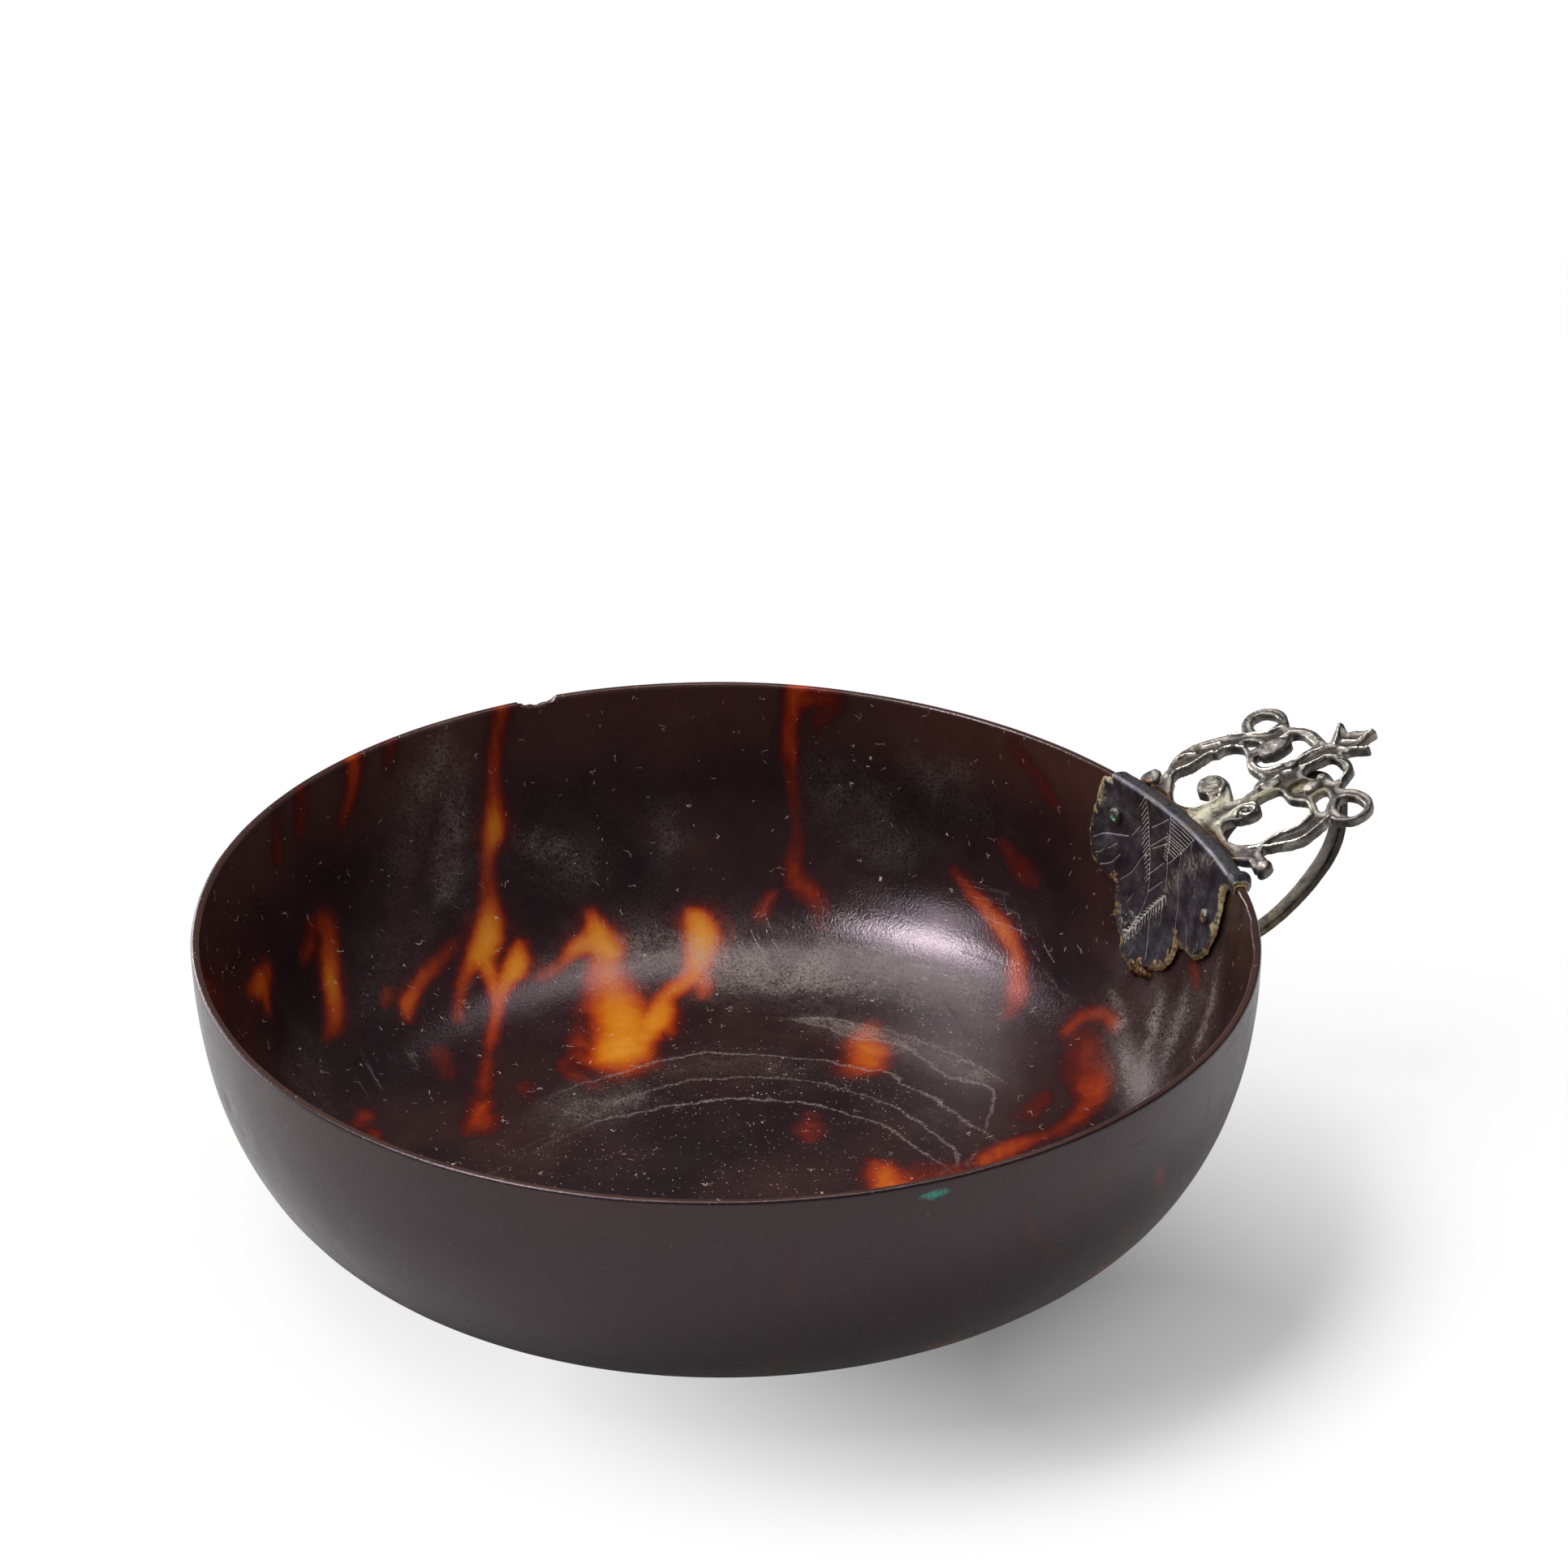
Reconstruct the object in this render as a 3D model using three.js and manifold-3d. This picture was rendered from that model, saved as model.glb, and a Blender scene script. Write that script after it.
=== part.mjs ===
// Wine taster: a shallow turned tortoiseshell bowl with a silver mount folded over its rim.
// The mount carries a strap ring for a finger and a flat cast openwork thumbpiece above it.
// Millimetres, +Z up, handle along +X, origin at the middle of the flat foot.
import * as THREE from 'three';
import * as BufferGeometryUtils from 'three/addons/utils/BufferGeometryUtils.js';
import Module from 'manifold-3d';

const wasm = await Module();
wasm.setup();

// Bowl
const RIM_RADIUS = 54;
const BOWL_HEIGHT = 29.2;
const FOOT_RADIUS = 17.3;
const SIDE_POWER = 4.61; // how upright the wall stands before it turns in
const FLOOR_POWER = 2.11; // how flat the floor runs before it turns up
const WALL_AT_RIM = 0.9;
const WALL_AT_FOOT = 1.9;
const LIP_ROUND = 0.25;
const MERIDIAN_STEPS = 16;
const BOWL_SECTORS = 72;
// Old shell is never quite true: the rim is a little oval and a little saddle-shaped
const OVAL = 1.0;
const OVAL_BEARING = -63.8;
const SAG = 0.55;
const SAG_PHASE = 154;
const RIM_SWELLS = [
  { bearing: 40, spread: 33, height: 0.47 },
  { bearing: 110, spread: 22, height: -0.22 },
];
const DRIFT = [-0.2, 0.09];
// A shallow flake is lost from the rim at the back
const CHIP_BEARING = 89.5;
const CHIP_SIZE = [2.3, 1.1, 1.2];

// Folded silver mount and the cement that beds it
const SHEET = 0.4;
// Clear of the shell inside the bowl, over the lip and outside the bowl
const BED_CLEAR = [0.45, 0.27, 0.24];
const CEMENT_NEAR = [0.1, 0.06, 0.05];
const CEMENT_FAR = [0.35, 0.21, 0.19];
const CEMENT_SQUEEZE = 0.35;
const PLATE_DEPTH = 19.5;
const FOLD_LEFT = 13.2;
const FOLD_RIGHT = -13.8;

// Rivets
const RIVETS = { left: [11.8, 25.4], right: [-7.5, 22.8] };
const SHANK_RADIUS = 0.8;
const HEAD_RADIUS = 1.45;
const HEAD_RISE = 0.55;
const HOLE_CLEARANCE = 0.3;

// Cast thumbpiece, drawn flat: u runs out from the rim, v across
const THUMB_ROOT = [54.5, 0, BOWL_HEIGHT + 0.6];
const THUMB_TILT = THREE.MathUtils.degToRad(17.6);
const CAST_THICKNESS = 0.95;
const BOSS_RISE = 0.45;
const LOOP = { u: 12.5, v: 10.0, radius: 1.8, width: 0.95 };

// Finger ring: a strap bent to a D
const STRAP_THICKNESS = 0.95;
const STRAP_WIDE = 2.6;
const STRAP_NARROW = 1.8;
const STRAP_STEPS = 56;
const STRAP_HOLLOW = 0.22;

const SEAT_GAP = 0.3;

// Turn a closed three.js geometry into a solid for cutting, and back
function solid(geometry) {
  const bare = geometry.clone();
  bare.deleteAttribute('normal');
  bare.deleteAttribute('uv');
  const merged = BufferGeometryUtils.mergeVertices(bare, 1e-4);
  const mesh = new wasm.Mesh({
    numProp: 3,
    vertProperties: new Float32Array(merged.attributes.position.array),
    triVerts: new Uint32Array(merged.index.array),
  });
  return new wasm.Manifold(mesh);
}

function surface(manifold) {
  const mesh = manifold.getMesh();
  const geometry = new THREE.BufferGeometry();
  geometry.setAttribute('position', new THREE.BufferAttribute(mesh.vertProperties, 3));
  geometry.setIndex(new THREE.BufferAttribute(mesh.triVerts, 1));
  return geometry;
}

function joined(solids) {
  return solids.reduce((all, next) => all.add(next));
}

// Height and radius of the bowl's outside at a turn from rim (0) to foot (90 degrees)
function outsideAt(turn) {
  const radius = FOOT_RADIUS + (RIM_RADIUS - FOOT_RADIUS) * Math.cos(turn) ** (2 / SIDE_POWER);
  const height = BOWL_HEIGHT * (1 - Math.sin(turn) ** (2 / FLOOR_POWER));
  return new THREE.Vector2(radius, height);
}

function turnAtHeight(height) {
  return Math.asin((1 - height / BOWL_HEIGHT) ** (FLOOR_POWER / 2));
}

function wallAt(turn) {
  return WALL_AT_RIM + (WALL_AT_FOOT - WALL_AT_RIM) * Math.sin(turn);
}

// A point a given distance outside the bowl's outer face, square to it
function offsetFrom(turn, distance) {
  const step = 1e-3;
  const here = outsideAt(turn);
  const ahead = outsideAt(Math.min(turn + step, Math.PI / 2 - 1e-6));
  const behind = outsideAt(Math.max(turn - step, 1e-6));
  const along = ahead.sub(behind).normalize();
  return new THREE.Vector2(here.x - along.y * distance, here.y + along.x * distance);
}

// The oval, the sag, two low swells and a drift to one side, fading to nothing at the foot
function settled(geometry) {
  const place = geometry.attributes.position;
  for (let i = 0; i < place.count; i += 1) {
    const x = place.getX(i);
    const y = place.getY(i);
    const z = place.getZ(i);
    const bearing = THREE.MathUtils.radToDeg(Math.atan2(y, x));
    const radius = Math.hypot(x, y);
    const rise = THREE.MathUtils.clamp(z / BOWL_HEIGHT, 0, 1);
    const oval = OVAL * Math.cos(2 * THREE.MathUtils.degToRad(bearing - OVAL_BEARING)) * rise;
    const sag = SAG * Math.cos(THREE.MathUtils.degToRad(2 * bearing + SAG_PHASE)) * rise;
    const swells = RIM_SWELLS.map((swell) => {
      const away = Math.abs(bearing - swell.bearing) / swell.spread;
      return swell.height * rise * Math.exp(-(away ** 4));
    });
    const lift = swells.reduce((sum, each) => sum + each, sag);
    const scale = radius > 1 ? (radius + oval) / radius : 1;
    place.setXYZ(i, x * scale + DRIFT[0] * rise, y * scale + DRIFT[1] * rise, z + lift);
  }
  geometry.computeVertexNormals();
  return geometry;
}

function lathed(profile) {
  const geometry = new THREE.LatheGeometry(profile, BOWL_SECTORS);
  return geometry.rotateX(Math.PI / 2);
}

// Even steps down the wall from just under the lip to the foot
function turns(from, to, count) {
  return Array.from({ length: count + 1 }, (_, i) => from + ((to - from) * i) / count);
}

function bowlShape() {
  const lipTurn = turnAtHeight(BOWL_HEIGHT - 0.6);
  const down = turns(lipTurn, Math.PI / 2 - 1e-4, MERIDIAN_STEPS);
  const outer = down.map((turn) => offsetFrom(turn, 0));
  const inner = down.map((turn) => offsetFrom(turn, -wallAt(turn)));
  const lip = [
    new THREE.Vector2(RIM_RADIUS, BOWL_HEIGHT - LIP_ROUND),
    new THREE.Vector2(RIM_RADIUS - LIP_ROUND * 0.3, BOWL_HEIGHT - LIP_ROUND * 0.3),
    new THREE.Vector2(RIM_RADIUS - LIP_ROUND, BOWL_HEIGHT),
    new THREE.Vector2(RIM_RADIUS - WALL_AT_RIM + LIP_ROUND / 2, BOWL_HEIGHT),
    new THREE.Vector2(RIM_RADIUS - WALL_AT_RIM, BOWL_HEIGHT - LIP_ROUND / 2),
  ];
  const floor = inner[inner.length - 1];
  const profile = [
    new THREE.Vector2(0, 0),
    new THREE.Vector2(FOOT_RADIUS, 0),
    ...outer.slice(0, -1).reverse(),
    ...lip,
    ...inner.slice(0, -1),
    new THREE.Vector2(FOOT_RADIUS, floor.y),
    new THREE.Vector2(0, floor.y),
  ];
  return lathed(profile);
}

// A round bar through the wall along the handle's direction
function throughBar([across, height], radius, from, to) {
  const bar = new THREE.CylinderGeometry(radius, radius, to - from, 20);
  bar.rotateZ(Math.PI / 2).translate((from + to) / 2, across, height);
  return solid(bar);
}

function rivetHoles() {
  const holes = Object.values(RIVETS).map((place) => throughBar(place, SHANK_RADIUS + HOLE_CLEARANCE, 44, 58));
  return joined(holes);
}

function chip() {
  const flake = new THREE.SphereGeometry(1, 16, 10).scale(...CHIP_SIZE);
  const bearing = THREE.MathUtils.degToRad(CHIP_BEARING);
  flake.rotateZ(bearing + Math.PI / 2);
  flake.translate(RIM_RADIUS * Math.cos(bearing), RIM_RADIUS * Math.sin(bearing), BOWL_HEIGHT + 0.1);
  return solid(flake);
}

function bowl() {
  const cut = solid(bowlShape()).subtract(chip()).subtract(rivetHoles());
  return settled(surface(cut));
}

// Outline of the three-lobed plate seen along the handle: y across, z up
function lobedOutline(grow) {
  const outline = new THREE.Shape();
  const top = BOWL_HEIGHT + 6;
  outline.moveTo(FOLD_LEFT + grow, top);
  outline.lineTo(FOLD_LEFT + grow, BOWL_HEIGHT + 0.4);
  outline.bezierCurveTo(15.8 + grow, 27.5, 16.2 + grow, 22.5, 14.8 + grow, 19.6 - grow);
  outline.lineTo(10.2, 17.7 - grow);
  outline.bezierCurveTo(10.0, 14.6 - grow, 7.6, 11.3 - grow, 4.9, 11.1 - grow);
  outline.lineTo(3.4, 12.1 - grow);
  outline.bezierCurveTo(1.0 - grow, 11.9 - grow, -1.2 - grow, 13.9 - grow, -1.5, 17.3 - grow);
  outline.bezierCurveTo(-4.6 - grow, 15.6 - grow, -9.0 - grow, 17.6 - grow, -9.8 - grow, 23.0);
  outline.bezierCurveTo(-9.9 - grow, 25.6, -10.0 - grow, 28.6, FOLD_RIGHT - grow, BOWL_HEIGHT + 0.2);
  outline.lineTo(FOLD_RIGHT - grow, top);
  return outline;
}

// The outline as a cutter running along X between two distances from the middle
function outlineCutter(outline, from, to) {
  const cutter = new THREE.ExtrudeGeometry(outline, { depth: to - from, bevelEnabled: false, curveSegments: 7 });
  const basis = new THREE.Matrix4().makeBasis(
    new THREE.Vector3(0, 1, 0),
    new THREE.Vector3(0, 0, 1),
    new THREE.Vector3(1, 0, 0),
  );
  cutter.applyMatrix4(basis).translate(from, 0, 0);
  return solid(cutter);
}

// A sheet that follows the wall down both sides and folds over the lip. Its two faces are
// given as clear distances from the shell: inside the bowl, over the lip, outside the bowl.
function foldedBand(nearFace, farFace, innerDepth, outerDepth) {
  const lipTurn = turnAtHeight(BOWL_HEIGHT - 0.8);
  const innerTurns = turns(lipTurn, turnAtHeight(BOWL_HEIGHT - innerDepth), 9);
  const outerTurns = turns(lipTurn, turnAtHeight(BOWL_HEIGHT - outerDepth), 9);
  const face = ([inside, over, outside]) => [
    ...innerTurns.map((turn) => offsetFrom(turn, -wallAt(turn) - inside)).reverse(),
    new THREE.Vector2(RIM_RADIUS - WALL_AT_RIM - inside * 0.8, BOWL_HEIGHT + over * 0.6),
    new THREE.Vector2(RIM_RADIUS - WALL_AT_RIM - inside * 0.2, BOWL_HEIGHT + over),
    new THREE.Vector2(RIM_RADIUS + outside * 0.6, BOWL_HEIGHT + over),
    new THREE.Vector2(RIM_RADIUS + outside, BOWL_HEIGHT + over * 0.5),
    ...outerTurns.map((turn) => offsetFrom(turn, outside)),
  ];
  const profile = [...face(nearFace), ...face(farFace).reverse()];
  profile.push(profile[0].clone());
  return solid(lathed(profile));
}

function clasp() {
  const farFace = BED_CLEAR.map((clear) => clear + SHEET);
  const band = foldedBand(BED_CLEAR, farFace, PLATE_DEPTH, PLATE_DEPTH);
  const sheet = band.intersect(outlineCutter(lobedOutline(0), 40, 60)).subtract(rivetHoles());
  return settled(surface(sheet));
}

// Cement fills the bed, stops clear of both faces and squeezes out a little past the plate
function cement() {
  const band = foldedBand(CEMENT_NEAR, CEMENT_FAR, PLATE_DEPTH + 0.4, 1.4);
  const layer = band.intersect(outlineCutter(lobedOutline(CEMENT_SQUEEZE), 40, 60));
  return settled(surface(layer.subtract(rivetHoles())));
}

// A domed head inside, the shank through shell and sheet, and a burred end outside
function rivet(place) {
  const [across, height] = place;
  const turn = turnAtHeight(height);
  const innerFace = offsetFrom(turn, -wallAt(turn) - BED_CLEAR[0] - SHEET).x;
  const outerFace = offsetFrom(turn, BED_CLEAR[2] + SHEET).x;
  const chord = (face) => Math.sqrt(face ** 2 - across ** 2);
  const headSeat = chord(innerFace) - SEAT_GAP - 0.35;
  const endSeat = chord(outerFace) + SEAT_GAP + 0.1;
  const dome = turns(0, Math.PI / 2, 6).map(
    (angle) => new THREE.Vector2(HEAD_RADIUS * Math.sin(angle), -HEAD_RISE * Math.cos(angle)),
  );
  const profile = [
    ...dome,
    new THREE.Vector2(SHANK_RADIUS, 0.05),
    new THREE.Vector2(SHANK_RADIUS, endSeat - headSeat),
    new THREE.Vector2(HEAD_RADIUS * 0.8, endSeat - headSeat + 0.05),
    new THREE.Vector2(HEAD_RADIUS * 0.7, endSeat - headSeat + 0.45),
    new THREE.Vector2(0, endSeat - headSeat + 0.6),
  ];
  const pin = new THREE.LatheGeometry(profile, 20);
  pin.rotateZ(-Math.PI / 2).translate(headSeat, across, height);
  return settled(pin);
}

// A ribbon of varying width drawn along a smooth line of [u, v, width] points
function ribbon(points, steps) {
  const spine = new THREE.CatmullRomCurve3(points.map(([u, v]) => new THREE.Vector3(u, v, 0)), false, 'centripetal');
  const widths = new THREE.CatmullRomCurve3(
    points.map(([, , width], i) => new THREE.Vector3(i, width, 0)),
    false,
    'centripetal',
  );
  const left = [];
  const right = [];
  for (let i = 0; i <= steps; i += 1) {
    const t = i / steps;
    const place = spine.getPoint(t);
    const along = spine.getTangent(t);
    const half = widths.getPoint(t).y / 2;
    left.push(new THREE.Vector2(place.x - along.y * half, place.y + along.x * half));
    right.unshift(new THREE.Vector2(place.x + along.y * half, place.y - along.x * half));
  }
  return new THREE.Shape([...left, ...right]);
}

function disc(u, v, radius) {
  return new THREE.Shape().absarc(u, v, radius, 0, 2 * Math.PI);
}

// Cast plate: a shape sunk from the top face by the casting's thickness
function cast(shape, rise = 0) {
  const plate = new THREE.ExtrudeGeometry(shape, {
    depth: CAST_THICKNESS + rise,
    bevelEnabled: false,
    curveSegments: 10,
  });
  plate.translate(0, 0, -CAST_THICKNESS);
  return solid(plate);
}

// A raised round boss with a softened edge, as the scrolls end in
function boss(u, v, radius) {
  const profile = [
    new THREE.Vector2(0, -CAST_THICKNESS),
    new THREE.Vector2(radius * 0.92, -CAST_THICKNESS),
    new THREE.Vector2(radius, 0),
    new THREE.Vector2(radius * 0.75, BOSS_RISE * 0.75),
    new THREE.Vector2(0, BOSS_RISE),
  ];
  const dome = new THREE.LatheGeometry(profile, 20).rotateX(Math.PI / 2).translate(u, v, 0);
  return solid(dome);
}

function loopRing() {
  const shape = disc(LOOP.u, LOOP.v, LOOP.radius + LOOP.width / 2);
  shape.holes.push(new THREE.Path().absarc(LOOP.u, LOOP.v, LOOP.radius - LOOP.width / 2, 0, 2 * Math.PI, true));
  return shape;
}

// One side of the openwork: arm, curl, scrolls, loop and finial leaf
function scrollwork() {
  const arm = [
    [-0.4, 7.4, 2.6], [0.9, 9.8, 1.6], [2.4, 10.8, 2.3], [5, 11.1, 2.7],
    [7.5, 10.6, 2.4], [9.6, 9.6, 1.8], [11.2, 8.3, 1.3], [12.4, 6.6, 1.2],
  ];
  const curl = [[0.3, 8.8, 1.2], [0.5, 10.6, 1.0], [0.1, 12.2, 0.9]];
  const innerScroll = [[-0.6, 3.6, 2.4], [0.6, 2.1, 1.6], [2.0, 1.45, 1.3], [3.5, 1.7, 1.4], [4.3, 2.9, 1.2], [4.2, 4.2, 1.0]];
  const fillet = [[-0.6, 8.4, 1.4], [-0.2, 5.6, 1.0], [-0.4, 2.6, 1.4]];
  const eye = [
    [11.4, 0.7, 1.0], [9.6, 1.1, 0.95], [8.3, 2.0, 0.9], [7.9, 3.6, 0.9],
    [8.4, 5.1, 0.95], [9.6, 5.8, 1.0], [10.9, 5.4, 1.0], [11.9, 4.6, 0.9],
  ];
  const outerScroll = [
    [14.0, 0.6, 1.2], [15.1, 2.2, 1.1], [15.1, 4.0, 1.1], [14.2, 5.5, 1.2], [12.9, 6.2, 1.4], [11.4, 5.9, 1.2],
  ];
  const strut = [[8.9, 5.4, 1.0], [8.5, 6.9, 0.9], [8.3, 9.0, 1.0]];
  const leaf = [[15.4, 0.5, 1.1], [16.8, 1.5, 1.2], [17.6, 2.5, 0.9], [18.1, 3.4, 0.5]];
  const strokes = [
    cast(ribbon(arm, 22)),
    cast(ribbon(curl, 6)),
    cast(ribbon(innerScroll, 14)),
    cast(ribbon(fillet, 6)),
    cast(ribbon(eye, 22)),
    cast(ribbon(outerScroll, 14)),
    cast(ribbon(strut, 5)),
    cast(ribbon(leaf, 8)),
    cast(loopRing()),
    boss(0.1, 12.6, 1.0),
    boss(2.85, 4.4, 1.6),
    boss(10.5, 3.7, 1.25),
  ];
  return joined(strokes);
}

function mirrored(manifold) {
  const geometry = surface(manifold).scale(1, -1, 1);
  const order = geometry.index.array;
  for (let i = 0; i < order.length; i += 3) {
    [order[i], order[i + 1]] = [order[i + 1], order[i]];
  }
  return solid(geometry);
}

// Husked stem down the middle, ending in the finial's centre leaf
function stem() {
  const husk = [
    [2.2, 0, 1.6], [3.6, 0, 2.6], [5.2, 0, 1.7], [6.4, 0, 2.3], [7.6, 0, 3.1],
    [9.4, 0, 2.0], [11.3, 0, 1.4], [13.2, 0, 2.4], [14.8, 0, 2.0], [16, 0, 1.6],
  ];
  const tip = [[15.6, 0, 1.4], [16.8, 0, 2.4], [18.0, 0, 2.3], [19.2, 0, 1.1], [20.3, 0, 0.5]];
  return cast(ribbon(husk, 26)).add(cast(ribbon(tip, 12), 0.2));
}

function thumbpiece() {
  const side = scrollwork();
  const flat = surface(joined([side, mirrored(side), stem()]));
  flat.rotateY(-THUMB_TILT).translate(...THUMB_ROOT);
  const foldRadius = RIM_RADIUS - 0.61 * OVAL + DRIFT[0] + BED_CLEAR[2] + SHEET + SEAT_GAP;
  const rim = new THREE.CylinderGeometry(foldRadius, foldRadius, 20, 180).rotateX(Math.PI / 2);
  const cut = solid(flat).subtract(solid(rim.translate(0, 0, BOWL_HEIGHT)));
  const geometry = surface(cut);
  geometry.computeVertexNormals();
  return geometry;
}

// Side view of the finger ring's middle line, as [x, z] from under the stem round to its kicked-up end
const RING_LINE = [
  [64.4, 30.85], [66.6, 31.45], [68.6, 31.1], [69.8, 29.4], [70.1, 27.2], [69.8, 24.4], [68.9, 22.1],
  [67.5, 20.1], [65.2, 17.7], [62.4, 15.6], [59.4, 14.2], [56.8, 14.0], [55.4, 15.4], [55.1, 18.0],
  [55.4, 22.0], [55.6, 25.6], [56.3, 27.2], [57.3, 28.2],
];

// A bent strap with raised edges on its inner face, narrowing towards the bowl
function ring() {
  const line = new THREE.CatmullRomCurve3(RING_LINE.map(([x, z]) => new THREE.Vector3(x, 0, z)), false, 'centripetal');
  const section = (narrow) => {
    const half = (STRAP_WIDE * (1 - narrow) + STRAP_NARROW * narrow) / 2;
    const back = STRAP_THICKNESS / 2;
    return [
      [-half, -back], [half, -back], [half, back], [half - 0.45, back],
      [half * 0.4, back - STRAP_HOLLOW], [-half * 0.4, back - STRAP_HOLLOW], [-half + 0.45, back], [-half, back],
    ];
  };
  const vertices = [];
  const triangles = [];
  const sides = section(0).length;
  for (let i = 0; i <= STRAP_STEPS; i += 1) {
    const t = i / STRAP_STEPS;
    const place = line.getPointAt(t);
    const along = line.getTangentAt(t);
    const inward = new THREE.Vector3(along.z, 0, -along.x).negate();
    const narrow = THREE.MathUtils.smoothstep(t, 0.1, 0.6);
    section(narrow).forEach(([across, up]) => {
      vertices.push(place.x + inward.x * up, across, place.z + inward.z * up);
    });
  }
  for (let i = 0; i < STRAP_STEPS; i += 1) {
    for (let j = 0; j < sides; j += 1) {
      const a = i * sides + j;
      const b = i * sides + ((j + 1) % sides);
      triangles.push(a, b, a + sides, b, b + sides, a + sides);
    }
  }
  const last = STRAP_STEPS * sides;
  for (let j = 1; j < sides - 1; j += 1) {
    triangles.push(0, j + 1, j, last, last + j, last + j + 1);
  }
  const geometry = new THREE.BufferGeometry();
  geometry.setAttribute('position', new THREE.Float32BufferAttribute(vertices, 3));
  geometry.setIndex(triangles);
  geometry.computeVertexNormals();
  return geometry;
}

// A bead of resin that has run out under the middle lobe
function resin() {
  const turn = turnAtHeight(10.4);
  const face = offsetFrom(turn, -wallAt(turn));
  const bead = new THREE.SphereGeometry(1, 14, 10).scale(0.75, 1.5, 0.95);
  const slope = THREE.MathUtils.degToRad(38);
  bead.rotateY(slope).translate(face.x - 1.75, 3.0, 10.4 + 0.9);
  return settled(bead);
}

const tortoiseshell = new THREE.MeshStandardMaterial({ color: '#2b1b18', roughness: 0.22, metalness: 0 });
const tarnishedSilver = new THREE.MeshStandardMaterial({ color: '#4a4a50', roughness: 0.38, metalness: 1 });
const castSilver = new THREE.MeshStandardMaterial({ color: '#6f6b66', roughness: 0.36, metalness: 1 });
const darkSilver = new THREE.MeshStandardMaterial({ color: '#4b4640', roughness: 0.42, metalness: 1 });
const wornSilver = new THREE.MeshStandardMaterial({ color: '#a59d92', roughness: 0.35, metalness: 1 });
const tanCement = new THREE.MeshStandardMaterial({ color: '#a98f5c', roughness: 0.9, metalness: 0 });
const amberResin = new THREE.MeshStandardMaterial({ color: '#6b4a22', roughness: 0.2, metalness: 0 });

function named(name, geometry, material) {
  const mesh = new THREE.Mesh(geometry, material);
  mesh.name = name;
  return mesh;
}

const group = new THREE.Group();
group.add(named('bowl', bowl(), tortoiseshell));
group.add(named('rim_clasp', clasp(), tarnishedSilver));
group.add(named('bedding_cement', cement(), tanCement));
group.add(named('rivet_left', rivet(RIVETS.left), wornSilver));
group.add(named('rivet_right', rivet(RIVETS.right), wornSilver));
group.add(named('thumbpiece', thumbpiece(), castSilver));
group.add(named('finger_ring', ring(), darkSilver));
group.add(named('resin_bead', resin(), amberResin));

export default group;
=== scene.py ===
"""A tortoiseshell wine taster with a silver rim mount, for Blender 4.5."""

import math
from functools import partial

import bpy
import numpy as np
from mathutils import Matrix, Vector, noise


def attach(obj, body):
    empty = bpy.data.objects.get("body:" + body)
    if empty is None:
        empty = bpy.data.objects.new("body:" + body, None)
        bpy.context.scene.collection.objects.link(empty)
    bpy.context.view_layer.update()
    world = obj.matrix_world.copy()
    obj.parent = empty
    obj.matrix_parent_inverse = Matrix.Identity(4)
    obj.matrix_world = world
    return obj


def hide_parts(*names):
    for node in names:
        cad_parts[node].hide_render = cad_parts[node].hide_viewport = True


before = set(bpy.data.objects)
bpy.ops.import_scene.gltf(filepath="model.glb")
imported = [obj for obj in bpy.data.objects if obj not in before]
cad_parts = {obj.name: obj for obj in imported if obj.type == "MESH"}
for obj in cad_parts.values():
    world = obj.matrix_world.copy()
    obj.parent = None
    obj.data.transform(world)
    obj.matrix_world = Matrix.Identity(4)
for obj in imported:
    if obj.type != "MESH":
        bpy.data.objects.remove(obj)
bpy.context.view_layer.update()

MM = 0.001
RIM_RADIUS = 54.0
BOWL_HEIGHT = 29.2
FOOT_RADIUS = 17.3
SIDE_POWER = 4.61
FLOOR_POWER = 2.11
WALL_AT_RIM = 0.9
WALL_AT_FOOT = 1.9
OVAL = 1.0
OVAL_BEARING = -63.8
SAG = 0.55
SAG_PHASE = 154.0
# Low swells of the rim (bearing, spread in degrees, height) and its drift to one side
RIM_SWELLS = [(40, 33, 0.47), (110, 22, -0.22)]
DRIFT = (-0.2, 0.09)
# The photograph looks across the handle from this bearing, so marks are noted in its own left and right
VIEW_BEARING = 23.1
THUMB_TILT = math.radians(17.6)
THUMB_ROOT = np.array([54.5, 0.0, 29.8])
# The lip's round: (in from the rim, height)
LIP = [(WALL_AT_RIM, 28.95), (0.86, 29.08), (0.76, 29.17), (0.6, 29.2), (0.3, 29.2), (0.14, 29.16),
       (0.04, 29.06), (0.0, 28.93)]
# Dings outside: (bearing in the photograph, height, size)
DINGS = [(-159.5, 20.3, 1.3), (-173.0, 14.0, 1.0)]
DING_DEPTH = 0.28
FLAKE_BEARING = 89.4
FLAKE_SIZE = [2.5, 1.05, 1.15]


# Helpers for shapes

def deselect():
    if bpy.context.object and bpy.context.object.mode != "OBJECT":
        bpy.ops.object.mode_set(mode="OBJECT")
    bpy.ops.object.select_all(action="DESELECT")


def choose(piece):
    deselect()
    piece.select_set(True)
    bpy.context.view_layer.objects.active = piece


def corners(piece):
    flat = np.empty(len(piece.data.vertices) * 3)
    piece.data.vertices.foreach_get("co", flat)
    return flat.reshape(-1, 3) / MM


def place(piece, points):
    piece.data.vertices.foreach_set("co", (np.asarray(points) * MM).ravel())
    piece.data.update()


def facing(piece):
    flat = np.empty(len(piece.data.vertices) * 3)
    piece.data.vertices.foreach_get("normal", flat)
    return flat.reshape(-1, 3)


def mark(piece, name, values):
    layer = piece.data.attributes.new(name, "FLOAT", "POINT")
    layer.data.foreach_set("value", np.asarray(values, np.float32))


def modify(piece, kind, **settings):
    choose(piece)
    modifier = piece.modifiers.new(kind.title(), kind)
    for key, value in settings.items():
        setattr(modifier, key, value)
    bpy.ops.object.modifier_apply(modifier=modifier.name)


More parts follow.
